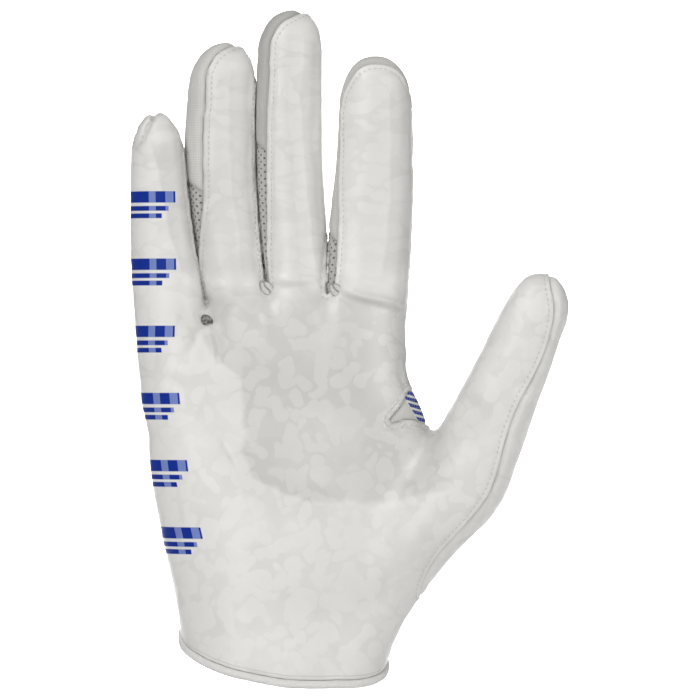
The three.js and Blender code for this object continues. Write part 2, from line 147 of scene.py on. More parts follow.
# The hem below the middle of the wrist's depth: x is a share of the wrist's width and z of the palm's length
HEM_LINE = [(-3, 0.12), (-0.5, 0.05), (-0.25, 0.021), (0, 0), (0.25, -0.009), (0.5, -0.035), (3, -0.15)]

# How far the fingers are spread for meshing, and over what height, in mm
FINGER_SPREAD = 3.2
SPREAD_RUN = 22.0
# Roundness of the level sections: 2 is an ellipse, and more is squarer
FINGER_POWER = 2.3
PALM_POWER = 2.5
# Reach of the blends, in mm, and where the ball of the thumb blends more widely, as a share of the palm's
# length
THUMB_BLEND = 5.5
BALL_BLEND = 9.0
BALL_HEIGHT = 0.46
BALL_RUN = 14
FINGER_BLEND = 5.0
# The box that is meshed, in mm
MESH_LOW = (-68.0, -30.0, -22.0)
MESH_HIGH = (106.0, 27.0, 232.0)


def millimetres(name, about, value, low, high):
    return bpy.props.FloatProperty(name=name, description=about + ", in mm", default=value, min=low, max=high)


def paint(name, about, value):
    return bpy.props.FloatVectorProperty(name=name, description=about, subtype="COLOR", size=3, default=value)


class GloveSizes(bpy.types.PropertyGroup):
    """Lengths of the glove"""

    palm_width: millimetres("Palm width", "Across the knuckles", 94.0, 60.0, 130.0)
    palm_length: millimetres("Palm length", "From wrist to webs", 130.5, 90.0, 170.0)
    palm_depth: millimetres("Palm depth", "Through the knuckles", 33.0, 20.0, 50.0)
    wrist_width: millimetres("Wrist width", "Across the hem", 73.0, 50.0, 100.0)
    wrist_depth: millimetres("Wrist depth", "Through the hem", 48.0, 30.0, 70.0)
    finger_depth: millimetres("Finger depth", "Through a filled finger", 20.5, 14.0, 28.0)
    fingertip: millimetres("Fingertip", "Length of a fingertip's rounding", 17.0, 8.0, 25.0)
    finger_root: millimetres("Finger root", "Height of the finger roots", 95.0, 60.0, 130.0)
    thumb_side: millimetres("Thumb reach to the side", "From the wrist's middle", 91.0, 60.0, 120.0)
    thumb_up: millimetres("Thumb reach up", "From the wrist", 134.5, 90.0, 170.0)
    thumb_width: millimetres("Thumb width", "Across the thumb", 24.0, 16.0, 32.0)
    thumb_depth: millimetres("Thumb depth", "Through the thumb", 22.0, 16.0, 30.0)
    hem_rise: bpy.props.FloatProperty(
        name="Hem rise", description="Slope of the hem up to the back", subtype="ANGLE",
        default=math.radians(20))
    cloth: millimetres("Cloth", "Thickness of a panel", 1.3, 0.5, 3.0)
    grid: millimetres("Mesh size", "Edge length of the panels' faces", 0.92, 0.6, 3.0)
    binding_height: millimetres("Binding height", "Height of the tape round the hem", 2.7, 1.0, 8.0)
    stitch_inset: millimetres("Stitch inset", "Topstitching from a panel's edge", 2.1, 1.0, 5.0)
    stitch_pitch: millimetres("Stitch pitch", "From one stitch to the next", 1.9, 1.0, 5.0)


class GloveColours(bpy.types.PropertyGroup):
    """Colours of the glove"""

    film: paint("Film", "Tacky palm film", (0.80, 0.79, 0.765))
    vein: paint("Vein", "Darker print in the film", (0.725, 0.715, 0.68))
    knit: paint("Knit", "Back panel", (0.66, 0.65, 0.62))
    side: paint("Finger sides", "Perforated strips", (0.56, 0.55, 0.52))
    # The perforation colour is painted shade inside a hole, and in the dark sheet at the pinky's web
    hole: paint("Perforation", "Inside of a hole", (0.2, 0.195, 0.18))
    tape: paint("Tape", "Wrist binding", (0.78, 0.77, 0.745))
    thread: paint("Thread", "Topstitching", (0.66, 0.65, 0.61))
    mark: paint("Bars", "Printed bars", (0.003, 0.028, 0.295))
    # The paler bar colour is a painted highlight of the film's reflection
    mark_highlight: paint("Bar highlight", "Bars under a painted highlight band", (0.185, 0.245, 0.56))


# Curves through a table


def smoothstep(t):
    """Eases from 0 to 1"""
    t = np.clip(t, 0.0, 1.0)
    return t * t * (3 - 2 * t)


def mix(a, b, t):
    return a + (b - a) * t


def bell(away, width):
    """1 in the middle and falling to 0 over about the width"""
    return np.exp(-((away / width) ** 2))


def smooth_curve(places, values):
    """A smooth curve through the values, as a function of place"""
    places, values = np.asarray(places, float), np.asarray(values, float)
    slopes = np.gradient(values, places)
    fine = np.linspace(places[0], places[-1], 600)
    k = np.clip(np.searchsorted(places, fine, side="right") - 1, 0, len(places) - 2)
    span = places[k + 1] - places[k]
    t = (fine - places[k]) / span
    h00, h10 = 2 * t**3 - 3 * t**2 + 1, t**3 - 2 * t**2 + t
    h01, h11 = -2 * t**3 + 3 * t**2, t**3 - t**2
    height = h00 * values[k] + h10 * span * slopes[k] + h01 * values[k + 1] + h11 * span * slopes[k + 1]
    return lambda at: np.interp(at, fine, height)


def column_curves(rows):
    """A smooth curve for each column of a table, as a function of z"""
    places = [row["z"] for row in rows]
    return {key: smooth_curve(places, [row[key] for row in rows]) for key in rows[0]}


def through_three(three, t):
    """Curve through values at the root, halfway and at the tip"""
    root, mid, tip = three
    return root * (1 - t) * (1 - 2 * t) + mid * 4 * t * (1 - t) + tip * t * (2 * t - 1)


def rounded_distance(u, v, w, a, b, c, power):
    """Distance from a rounded column of half sizes a and b with a cap of length c, right near its surface"""
    pu, pv, pw = np.abs(u / a), np.abs(v / b), np.abs(w / c)
    total = pu**power + pv**power + pw**power + 1e-9
    rho = total ** (1 / power)
    grad = np.sqrt((pu ** (power - 1) / a) ** 2 + (pv ** (power - 1) / b) ** 2 + (pw ** (power - 1) / c) ** 2)
    grad = grad * rho ** (1 - power)
    return (rho - 1) / np.maximum(grad, 0.4 / np.maximum(a, b))


def smooth_union(one, other, reach):
    """Joins two distances, with a fillet where they are within reach of each other"""
    blend = np.maximum(reach - np.abs(one - other), 0) / reach
    return np.minimum(one, other) - blend**2 * reach / 4


class HandForm:
    """The outer form of the filled glove as a distance function, with its fingers spread or as they stand"""

    def __init__(self, sizes):
        self.s = sizes
        self.palm_curves = column_curves(PALM_SECTIONS)
        self.thumb_curves = column_curves(THUMB_SECTIONS)
        self.depth = smooth_curve(np.linspace(0, 1, len(FINGER_DEPTHS)), FINGER_DEPTHS)
        self.hem_curve = lambda x: np.interp(x, [x for x, z in HEM_LINE], [z for x, z in HEM_LINE])

    def spread(self, i, z):
        """How far finger i is moved aside while the form is meshed, so that its neighbours do not touch it"""
        one, two, three = (FINGER_SPREAD * smoothstep((z - web * self.s.palm_length) / SPREAD_RUN)
                           for web in WEBS[1:4])
        return (-one - two, -two, 0 * z, three)[i]

    def finger_frame(self, i, z):
        finger = FINGERS[i]
        t = np.clip((z - self.s.finger_root) / finger["reach"], 0, 1)
        x = through_three(finger["x"], t) * self.s.palm_width
        y = mix(finger["y"][0], finger["y"][1], t * t) * self.s.palm_depth
        half = through_three(finger["width"], t) * self.s.palm_width / 2
        deep = self.depth(t) * self.s.finger_depth / 2
        return x, y, half, deep

    def in_finger(self, i, x, y, z):
        """Coordinates across and through finger i, which is rolled about its length"""
        cx, cy, half, deep = self.finger_frame(i, z)
        roll = math.radians(FINGERS[i]["roll"])
        c, s = math.cos(roll), math.sin(roll)
        return (x - cx) * c + (y - cy) * s, (y - cy) * c - (x - cx) * s, half, deep

    def finger(self, i, x, y, z, spread):
        shift = self.spread(i, z) if spread else 0
        u, v, half, deep = self.in_finger(i, x - shift, y, z)
        top = self.s.finger_root + FINGERS[i]["reach"]
        above = np.maximum(z - (top - self.s.fingertip), 0)
        below = np.maximum(self.s.finger_root - z, 0)
        return rounded_distance(u, v, above + below, half, deep, self.s.fingertip, FINGER_POWER)

    def palm(self, x, y, z):
        s = self.s
        curves = self.palm_curves
        side = (x / s.palm_width - ARCH_PEAK) * 2
        share = z / s.palm_length
        share = share + curves["arch"](share) * side**2
        width = mix(s.wrist_width, s.palm_width, curves["knuckles"](share))
        depth = mix(s.wrist_depth, s.palm_depth, curves["knuckles"](share))
        left, right = curves["left"](share) * width, curves["right"](share) * width
        half = (right - left) / 2
        u = x - (left + right) / 2
        dent = 1 - curves["dish"](share) * bell(u / half, 0.5)
        deep = np.where(y < 0, curves["front"](share) * depth * dent, curves["back"](share) * depth)
        cap = np.maximum(share - PALM_CAP_START, 0) * s.palm_length
        return rounded_distance(u, y, cap, half, deep, (1.0 - PALM_CAP_START) * s.palm_length, PALM_POWER)

    def thumb(self, x, y, z):
        s = self.s
        share = z / s.thumb_up
        c = self.thumb_curves
        half, deep = c["half"](share) * s.thumb_width / 2, c["deep"](share) * s.thumb_depth / 2
        cap = np.maximum(share - THUMB_CAP_START, 0) * s.thumb_up
        return rounded_distance(x - c["x"](share) * s.thumb_side, y - c["y"](share) * s.palm_depth, cap,
                                half, deep, (1.004 - THUMB_CAP_START) * s.thumb_up, FINGER_POWER)

    def distance(self, x, y, z, spread=True):
        # The thumb's ball blends more widely than the fork above it
        blend = THUMB_BLEND + BALL_BLEND * bell(z - BALL_HEIGHT * self.s.palm_length, BALL_RUN)
        form = smooth_union(self.palm(x, y, z), self.thumb(x, y, z), blend)
        fingers = self.finger(0, x, y, z, spread)
        for i in range(1, 4):
            fingers = np.minimum(fingers, self.finger(i, x, y, z, spread))
        return smooth_union(form, fingers, FINGER_BLEND)

    def front(self, x, z):
        """Depth at which the front of the glove is met at a place in the front view"""
        depths = np.linspace(-30, 10, 801)
        values = self.distance(x + 0 * depths, depths, z + 0 * depths, spread=False)
        return depths[np.argmax(values < 0)]

    def finger_at(self, x, z, spread=False):
        """Index of the finger nearest to a place, told by the lines midway between neighbours"""
        index = np.zeros(np.broadcast(x, z).shape, int)
        for i in range(3):
            a, b = self.finger_frame(i, z), self.finger_frame(i + 1, z)
            line = (a[0] + a[2] + b[0] - b[2]) / 2
            if spread:
                line = line + (self.spread(i, z) + self.spread(i + 1, z)) / 2
            index += (x > line).astype(int)
        return index

    def above_hem(self, x, y, z):
        s = self.s
        line = self.hem_curve(x / s.wrist_width) * s.palm_length + math.tan(s.hem_rise) * y
        return (z - line) * math.cos(s.hem_rise)


# Meshing


def surface_net(values, low, step):
    """Vertices and quads of the surface where values pass through zero"""
    inside = values < 0
    corners = [(i, j, k) for i in (0, 1) for j in (0, 1) for k in (0, 1)]
    shape = np.array(values.shape) - 1
    count = np.zeros(shape, np.int8)
    for i, j, k in corners:
        count += inside[i:i + shape[0], j:j + shape[1], k:k + shape[2]]
    cells = np.argwhere((count > 0) & (count < 8))
    number = np.full(shape, -1, np.int64)
    number[tuple(cells.T)] = np.arange(len(cells))
    at = {c: values[cells[:, 0] + c[0], cells[:, 1] + c[1], cells[:, 2] + c[2]] for c in corners}
    total, hits = np.zeros((len(cells), 3)), np.zeros(len(cells))
    for a in corners:
        for axis in range(3):
            if a[axis]:
                continue
            b = tuple(c + (n == axis) for n, c in enumerate(a))
            crossing = (at[a] < 0) != (at[b] < 0)
            t = np.where(crossing, at[a] / np.where(crossing, at[a] - at[b], 1), 0)
            point = np.array(a, float) + np.outer(t, np.eye(3)[axis])
            total += point * crossing[:, None]
            hits += crossing
    points = low + step * (cells + total / hits[:, None])
    quads = []
    for axis in range(3):
        b, c = (axis + 1) % 3, (axis + 2) % 3
        first = np.take(inside, range(values.shape[axis] - 1), axis)
        second = np.take(inside, range(1, values.shape[axis]), axis)
        for rising in (True, False):
            edges = np.argwhere(first & ~second if rising else ~first & second)
            edges = edges[(edges[:, b] > 0) & (edges[:, c] > 0)]
            edges = edges[(edges[:, b] < shape[b]) & (edges[:, c] < shape[c])]
            ring = []
            for db, dc in ((1, 1), (0, 1), (0, 0), (1, 0)):
                cell = edges.copy()
                cell[:, b] -= db
                cell[:, c] -= dc
                ring.append(number[tuple(cell.T)])
            quads.append(np.stack(ring if rising else ring[::-1], 1))
    return points, np.concatenate(quads)


# Islands with less than this share of a panel's triangles are crumbs
CRUMB_SHARE = 0.04


def triangles_of(quads):
    return np.concatenate([quads[:, [0, 1, 2]], quads[:, [0, 2, 3]]])


def vertex_normals(points, faces):
    face = np.cross(points[faces[:, 1]] - points[faces[:, 0]], points[faces[:, 2]] - points[faces[:, 0]])
    normals = np.zeros_like(points)
    for k in range(3):
        np.add.at(normals, faces[:, k], face)
    return normals / np.maximum(np.linalg.norm(normals, axis=1), 1e-12)[:, None]


def split(mesh, values):
    """Cuts a triangle mesh where values pass through zero, into its part below and its part above"""
    points, normals, faces = mesh
    values = np.where(np.abs(values) < 1e-4, 1e-4, values)
    side = values > 0
    cut_edges = {}
    extra_points, extra_normals = [], []

    def cut(a, b):
        key = (a, b) if a < b else (b, a)
        if key not in cut_edges:
            a, b = key
            t = values[a] / (values[a] - values[b])
            cut_edges[key] = len(points) + len(extra_points)
            extra_points.append(points[a] + (points[b] - points[a]) * t)
            extra_normals.append(normals[a] + (normals[b] - normals[a]) * t)
        return cut_edges[key]

    above = side[faces].sum(1)
    low, high = [faces[above == 0]], [faces[above == 3]]
    low_new, high_new = [], []
    for face in faces[(above == 1) | (above == 2)]:
        marks = side[face]
        lone = int(np.argmax(marks)) if marks.sum() == 1 else int(np.argmin(marks))
        a, b, c = (int(face[(lone + k) % 3]) for k in range(3))
        ab, ac = cut(a, b), cut(a, c)
        tip, base = [(a, ab, ac)], [(ab, b, c), (ab, c, ac)]
        if marks.sum() == 1:
            high_new += tip
            low_new += base
        else:
            low_new += tip
            high_new += base
    if extra_points:
        points = np.concatenate([points, np.array(extra_points)])
        normals = np.concatenate([normals, np.array(extra_normals)])
    low.append(np.array(low_new, int).reshape(-1, 3))
    high.append(np.array(high_new, int).reshape(-1, 3))
    return compact(points, normals, np.concatenate(low)), compact(points, normals, np.concatenate(high))


def compact(points, normals, faces):
    used = np.unique(faces)
    number = np.full(len(points), -1)
    number[used] = np.arange(len(used))
    return points[used], normals[used], number[faces]


def border_edges(faces):
    """Directed edges that only one triangle has"""
    edges = np.concatenate([faces[:, [0, 1]], faces[:, [1, 2]], faces[:, [2, 0]]])
    low, high = edges.min(1), edges.max(1)
    key = low * (edges.max() + 1) + high
    _, first, count = np.unique(key, return_index=True, return_counts=True)
    return edges[first[count == 1]]


def main_parts(mesh):
    """Drops the crumbs that a cut leaves"""
    points, normals, faces = mesh
    parent = np.arange(len(points))
    while True:
        smallest = parent[faces].min(1)
        lowered = parent.copy()
        for k in range(3):
            np.minimum.at(lowered, faces[:, k], smallest)
        lowered = lowered[lowered]
        if np.array_equal(lowered, parent):
            break
        parent = lowered
    label = parent[faces[:, 0]]
    names, counts = np.unique(label, return_counts=True)
    return compact(points, normals, faces[np.isin(label, names[counts > CRUMB_SHARE * len(faces)])])


def wave_noise(points, size, seed):
    """Smooth noise from -1 to 1 made of sine waves in seeded directions"""
    rng = np.random.default_rng(seed)
    total = np.zeros(len(points))
    waves = 6
    for octave in range(2):
        for _ in range(waves):
            direction = rng.normal(size=3)
            direction *= 2 * math.pi / (size * np.linalg.norm(direction)) * 2**octave
            total += np.sin(points @ direction + rng.uniform(0, 2 * math.pi)) / (waves * 1.6**octave)
    return total


@lru_cache(maxsize=1)
def glove_form():
    return HandForm(bpy.context.scene.glove_sizes)


def projected(form, points):
    """Moves points onto the form's surface"""
    gap = 0.25
    for _ in range(3):
        value = form.distance(*points.T)
        grad = np.stack([form.distance(*(points + move).T) - form.distance(*(points - move).T)
                         for move in gap * np.eye(3)], 1) / (2 * gap)
        size = np.maximum((grad**2).sum(1), 0.05)
        points = points - np.clip(value / size, -0.5, 0.5)[:, None] * grad
    return points


@lru_cache(maxsize=1)
def skin():
    """The whole outer skin of the glove, as points, normals and triangles, with its creases and dents"""
    form = glove_form()
    step = form.s.grid * 1
    axes = [np.arange(low, high, step) for low, high in zip(MESH_LOW, MESH_HIGH)]
    x, y, z = np.meshgrid(*axes, indexing="ij", sparse=True)
    values = form.distance(x, y, z)
    points, quads = surface_net(values, np.array(MESH_LOW), step)
    points = projected(form, points)
    faces = triangles_of(quads)
    index = form.finger_at(points[:, 0], points[:, 2], spread=True)
    for i in range(4):
        here = index == i
        points[here, 0] -= form.spread(i, points[here, 2])
    normals = vertex_normals(points, faces)
    points = points + normals * relief(points, normals)[:, None]
    return points, vertex_normals(points, faces), faces


def from_segment(flat, a, b):
    """Share of the way from a to b that is nearest to each point of the front view, and the distance to it"""
    along = b - a
    t = np.clip((flat - a) @ along / (along @ along), 0, 1)
    return t, np.linalg.norm(flat - a - t[:, None] * along, axis=1)


def strokes(points, rows, column):
    """Ridges along lines in the front view, fading at their ends, each as high as its row's column says"""
    total = 0.0
    for row in rows:
        t, away = from_segment(points[:, [0, 2]], np.array(row["start"], float), np.array(row["end"], float))
        fade = np.sin(np.pi * np.clip(t * 0.9 + 0.05, 0, 1)) ** 0.6
        total = total + row[column] * bell(away, row["width"]) * fade
    return total


# Creases, dents and soft ridges in the front view: x and z in mm, height along the surface's normal
FRONT_RELIEF = table(
    "start end width height",
    ((-4, 133), (10, 132.8), 1.2, 1.0),
    ((-4, 130), (10, 130.2), 1.5, -0.7),
    ((20.5, 128.6), (41, 124), 1.3, 1.4),
    ((21, 125.8), (41, 121), 1.7, -0.8),
    ((-28, 121), (-17, 124.5), 2.4, -0.8),
    ((-30, 116), (-34, 108), 1.4, -0.5),
    ((-23, 77), (-17.5, 68), 1.2, -0.5),
    ((15, 114), (24, 99), 3.6, 0.8),
    ((27, 118), (20, 104), 2.2, -0.5),
    ((7, 126), (12, 114), 1.8, -0.4),
    ((58, 98), (66, 88), 2.6, -0.4),
    ((70, 100), (88, 92), 2.2, -0.35),
    ((-44, 100), (-34, 92), 2.4, -0.35),
    ((-26, 116), (-22, 106), 1.6, 0.45),
    ((-8, 126), (-6, 112), 1.8, 0.4),
    ((18, 127), (19, 112), 2.0, 0.4),
    ((-45.0, 192), (-48.4, 186), 0.8, -1.3),
    ((-48.2, 187), (-50.2, 180.4), 0.7, -0.9),
    ((-49.8, 182), (-52.4, 178), 0.7, -0.5),
    ((-43.6, 189), (-46.8, 183), 1.2, 0.4),
    ((79.5, 131), (76.8, 124.5), 0.8, -0.5),
    ((81.5, 132), (79.5, 124), 0.9, 0.3),
    ((35, 81.4), (49, 80.6), 0.8, 0.4),
    ((34, 79.8), (48, 78.6), 0.8, -0.3),
    ((33.5, 85.5), (40, 94), 0.8, 0.3),
)

# Hollow of the palm: its middle, its stretch to the sides, its radius and rim, and its depth, in mm
BOWL = {"x": 22, "z": 96, "stretch": 1.3, "radius": 33, "rim": 17, "deep": 2.7}
# Dents where the palm panel meets the back panel at the very top of a finger, in mm
TIP_DENTS = table("x z deep wide", (-46.0, 190.6, 1.2, 1.3), (-17.6, 214.6, 0.7, 1.5), (5.0, 225.8, 0.7, 1.5))

# Painted shade in the film's creases, grooves and notches, as lines in the front view: x and z in mm, and how
# dark they are
CREASE_SHADE_LINES = table(
    "start end width dark",
    ((-45.0, 191.5), (-48.4, 186), 0.45, 0.9),
    ((-48.2, 187), (-50.4, 180), 0.45, 0.8),
    ((-50, 181.4), (-52.4, 178), 0.5, 0.4),
    ((-22.4, 212.8), (-19.2, 214.4), 0.5, 0.7),
    ((0.6, 224.2), (4.4, 225.6), 0.5, 0.6),
    ((21, 126.6), (42, 122), 1.0, 0.3),
    ((-4, 130.6), (9, 130.8), 0.9, 0.2),
    ((-23.4, 77.5), (-17.6, 67.6), 0.8, 0.22),
    ((-30, 116), (-36, 106), 1.3, 0.2),
)

# Painted shade and painted highlight in bands along the front of each finger, for the film's reflections,
# from the pinky to the index: places across it, tones there, and how far the places move over to the left
# for each mm up
SHEEN_BANDS = [
    ((0.36, 0.42), (0.0, 1.1), 0.016),
    ((-0.6, -0.35, 0.09, 0.13, 0.6, 0.7, 0.8), (1.1, 0.6, 0.3, 1.0, 1.15, -0.2, -1.6), 0),
    ((-0.55, -0.4, -0.12, -0.06, 0.27, 0.31, 0.6, 0.75, 0.85),
     (0.6, 0.3, 0.55, 0.2, 0.15, 0.95, 1.1, -0.2, -0.8), 0),
    ((-0.8, -0.7, -0.4, -0.15, 0.33, 0.37, 0.7, 0.85), (0.0, -0.3, 0.0, 0.4, 0.1, 1.1, 1.3, 0.7), 0),
]
# Height at which the places are as given, in mm
SHEEN_BAND_LEVEL = 150

# Soft painted shade on the film, and painted light where dark is below zero, as lines in the front view
SOFT_SHADE_AND_LIGHT = table(
    "start end width dark",
    ((29, 24), (54, 46), 9.0, 0.95),
    ((31, 125), (34, 95), 5.5, -1.2),
    ((-38, 121), (-18, 112), 6.0, 0.75),
    ((62, 75), (70, 91), 4.5, 1.1),
    ((-20, 20), (40, 22), 8.0, 0.45),
    ((-28.9, 129), (-27.6, 120), 1.0, -1.5),
)


def relief(points, normals):
    """Height of creases, dents and waves along the surface's normal"""
    x, _, z = points.T
    height = strokes(points, FRONT_RELIEF, "height")
    # The hollow of the palm runs out before the webs and the thumb
    bowl = np.sqrt(((x - BOWL["x"]) / BOWL["stretch"]) ** 2 + (z - BOWL["z"]) ** 2)
    runs_out = smoothstep((130 - z) / 44) * smoothstep((66 - x) / 30)
    height -= BOWL["deep"] * (1 - smoothstep((bowl - BOWL["radius"]) / BOWL["rim"])) * runs_out
    height *= smoothstep((-normals[:, 1] + 0.1) / 0.5)
    for dent in TIP_DENTS:
        height -= dent["deep"] * bell(np.hypot(x - dent["x"], z - dent["z"]), dent["wide"])
    height += 0.28 * wave_noise(points, 34.0, 4)
    height += 0.12 * wave_noise(points * np.array([1.0, 1.0, 1.8]), 13.0, 9)
    return height


# Seams


def seam_fields(form, points):
    """Signed distances that name the panels: below zero before the palm panel's edge and the back panel's"""
    x, y, z = points.T
    s = form.s
    index = form.finger_at(x, z)
    front, back = np.zeros(len(points)), np.zeros(len(points))
    for i, finger in enumerate(FINGERS):
        here = index == i
        px, py, pz = x[here], y[here], z[here]
        u, v, half, deep = form.in_finger(i, px, py, pz)
        side = smoothstep((u / half + 0.7) / 1.4)
        along = (pz - s.finger_root) / finger["reach"]
        webs = np.array(WEBS) * s.palm_length
        web = mix(webs[i], webs[i + 1], side)
        onto = smoothstep((pz - web + 8) / 14)
        top = s.finger_root + finger["reach"]
        tip = smoothstep((pz - (top - s.fingertip * 1.25)) / (s.fingertip * 0.85))
        root, halfway, below_tip = finger["left"]
        left = smooth_curve((0.0, 0.24, 0.5, 0.8, 1.1), (root, root, halfway, below_tip, below_tip))
        round_tip = smooth_curve((-0.9, -0.4, -0.1, 0.35, 0.8), finger["tip"])(u / half)
        level = mix(mix(left(along), finger["right"], side), round_tip, tip) * deep
        front_here = mix(py - mix(WEB_FRONT[i], WEB_FRONT[i + 1], side), v - level, onto)
        behind = mix(finger["back"][0], finger["back"][1], side) * deep
        behind_here = mix(py - mix(WEB_BACK[i], WEB_BACK[i + 1], side), v - behind, onto)
        end = s.finger_root + finger["top"] * finger["reach"] + 0.45 * v
        behind_here = np.maximum(behind_here, pz - end)
        front[here] = front_here
        back[here] = np.minimum(front_here, behind_here)
    seam = column_curves(THUMB_SEAM)
    share = z / s.thumb_up
    cx = form.thumb_curves["x"](share) * s.thumb_side
    half = form.thumb_curves["half"](share) * s.thumb_width / 2
    side = smoothstep(((x - cx) / half + 1) / 2)
    thumb = y - mix(seam["inner"](share), seam["outer"](share), side) * s.palm_depth / 2
    # On the edge below the pinky the palm panel wraps to the back. Towards the thumb its own seam takes over.
    low = y - 3.0
    palm_low = smoothstep((z - 0.55 * s.palm_length) / (0.3 * s.palm_length))
    palm_side = mix(low, front, palm_low)
    palm_back = mix(low, back, palm_low)
    near = smoothstep((x - 0.47 * s.thumb_side) / (0.13 * s.thumb_side))
    near = near * smoothstep((x - mix(0.2, 0.56, smoothstep(share / 0.62)) * s.thumb_side) / 6)
    on_thumb = np.where(share < 0.75, near, (x > 0.52 * s.thumb_side).astype(float))
    return mix(palm_side, thumb, on_thumb), mix(palm_back, thumb, on_thumb)


def outline_distance(points, outline, closed):
    """Signed distance in the front view: above zero on the right of a line, or inside a closed one"""
    flat = points[:, [0, 2]]
    line = np.array(outline, float)
    ends = np.roll(line, -1, 0) if closed else line[1:]
    best, sign = np.full(len(flat), np.inf), np.ones(len(flat))
    inside = np.zeros(len(flat), bool)
    for a, b in zip(line, ends):
        along = b - a
        _, away = from_segment(flat, a, b)
        cross = along[1] * (flat[:, 0] - a[0]) - along[0] * (flat[:, 1] - a[1])
        nearer = away < best - 1e-9
        best = np.where(nearer, away, best)
        sign = np.where(nearer, np.sign(cross), sign)
        if closed and a[1] != b[1]:
            rises = (a[1] > flat[:, 1]) != (b[1] > flat[:, 1])
            inside ^= rises & (flat[:, 0] < a[0] + (flat[:, 1] - a[1]) * along[0] / along[1])
    return best * np.where(inside, 1, -1) if closed else best * sign


def smoothed_outline(line):
    """Corner cutting that keeps an open line's two ends"""
    for _ in range(2):
        near, far = line[:-1] * 0.75 + line[1:] * 0.25, line[:-1] * 0.25 + line[1:] * 0.75
        line = np.concatenate([line[:1], np.stack([near, far], 1).reshape(-1, 2), line[-1:]])
    return line


@lru_cache(maxsize=1)
def panels():
    """The skin cut into its panels: name to points, normals and triangles"""
    form = glove_form()
    s = form.s
    reach = np.array([s.thumb_side, s.thumb_up])
    x, y, z = skin()[0].T
    _, cuff_up = split(skin(), form.above_hem(x, y, z))
    x, y, z = cuff_up[0].T
    binding, body = split(cuff_up, form.above_hem(x, y, z) - s.binding_height)
    before, back = split(body, seam_fields(form, body[0])[1])
    front, sides = split(before, seam_fields(form, before[0])[0])
    strip_line = smoothed_outline(np.array(STRIP_EDGE)) * reach
    palm, strip = split(front, outline_distance(front[0], strip_line, closed=False))
    palm, gusset = split(palm, outline_distance(palm[0], np.array(GUSSET_EDGE) * reach, closed=True))
    cut = {"palm_panel": palm, "back_panel": back, "thumb_side_strip": strip, "thumb_gusset": gusset,
           "cuff_binding": binding}
    points, normals, faces = sides
    middle = points[faces].mean(1)
    finger = form.finger_at(middle[:, 0], middle[:, 2])
    cx = np.choose(finger, [form.finger_frame(i, middle[:, 2])[0] for i in range(4)])
    gap = finger + (middle[:, 0] > cx) - 1
    for i, name in enumerate(STRIPS):
        cut[name] = compact(points, normals, faces[gap == i])
    return {name: main_parts(part) for name, part in cut.items()}


def search_tree(points):
    tree = kdtree.KDTree(len(points))
    for n, point in enumerate(points):
        tree.insert(point, n)
    tree.balance()
    return tree


def edge_distance(mesh, form):
    """Distance of each point to the panel's sewn edge, which leaves out the cut at the binding"""
    points, _, faces = mesh
    edges = border_edges(faces)
    marks = np.concatenate([points[edges[:, 0]], points[edges].mean(1)])
    height = form.above_hem(*marks.T)
    tree = search_tree(marks[height > form.s.binding_height + 0.6])
    return np.array([tree.find(point)[2] for point in points])


def thickened(mesh, cloth):
    """Closed cloth of even thickness whose outer face is the mesh"""
    points, normals, faces = mesh
    count = len(points)
    edges = border_edges(faces)
    a, b = edges[:, 0], edges[:, 1]
    rim = np.concatenate([np.stack([b, a, a + count], 1), np.stack([b, a + count, b + count], 1)])
    all_points = np.concatenate([points, points - normals * cloth])
    return all_points, np.concatenate([faces, faces[:, ::-1] + count, rim])


def add_piece(name, points, faces, material, attributes=None):
    """A mesh object in metres, riding on the frame"""
    mesh = bpy.data.meshes.new(name)
    mesh.vertices.add(len(points))
    mesh.vertices.foreach_set("co", (np.asarray(points, float) * MM).ravel())
    mesh.loops.add(faces.size)
    mesh.loops.foreach_set("vertex_index", faces.ravel().astype(np.int32))
    mesh.polygons.add(len(faces))
    mesh.polygons.foreach_set("loop_start", np.arange(0, faces.size, faces.shape[1], dtype=np.int32))
    mesh.update(calc_edges=True)
    mesh.validate()
    mesh.polygons.foreach_set("use_smooth", np.full(len(mesh.polygons), True))
    for key, values in (attributes or {}).items():
        layer = mesh.attributes.new(key, "FLOAT", "POINT")
        layer.data.foreach_set("value", np.asarray(values, np.float32))
    mesh.materials.append(material)
    obj = bpy.data.objects.new(name, mesh)
    bpy.context.scene.collection.objects.link(obj)
    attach(obj, "root")
    return obj


def lip(near, s):
    """Height of the palm panel near its sewn edge: a rolled lip, then the groove of the topstitching"""
    return 0.36 * bell(near - 0.8, 0.65) - 0.26 * bell(near - s.stitch_inset, 0.55) - 0.35 * bell(near, 0.4)


def tuck(near):
    """Height of the other panels near their sewn edge: tucked in, then a low swell"""
    return 0.15 * bell(near - 2.6, 1.3) - 0.5 * bell(near, 0.9)


@lru_cache(maxsize=None)
def dressed(name):
    """A panel with its edges shaped, and each point's distance to its sewn edge"""
    form = glove_form()
    points, normals, faces = panels()[name]
    near = edge_distance((points, normals, faces), form)
    height = lip(near, form.s) if name == "palm_panel" else tuck(near)
    hem = form.above_hem(*points.T) - form.s.binding_height
    # Two fine lines above the binding where the tape's inner edge is stitched down
    height = height - 0.5 * bell(hem, 0.35) - 0.22 * bell(hem - 1.3, 0.28)
    points = points + normals * height[:, None]
    return points, vertex_normals(points, faces), faces, near


# Finishes


# Painted shade and painted highlight colours that the finishes blend in
SHEEN_PATCH = (0.9, 0.89, 0.87)
FILM_EDGE_SHADE = (0.42, 0.41, 0.385)
FILM_CREASE_SHADE = (0.34, 0.335, 0.31)
PUCKER_HIGHLIGHT = (0.92, 0.915, 0.9)
PUCKER_SHADE = (0.46, 0.455, 0.43)
HEM_SHADE = (0.32, 0.31, 0.29)
KNIT_EDGE_SHADE = (0.3, 0.295, 0.28)
DEEP_EDGE_SHADE = (0.22, 0.215, 0.2)
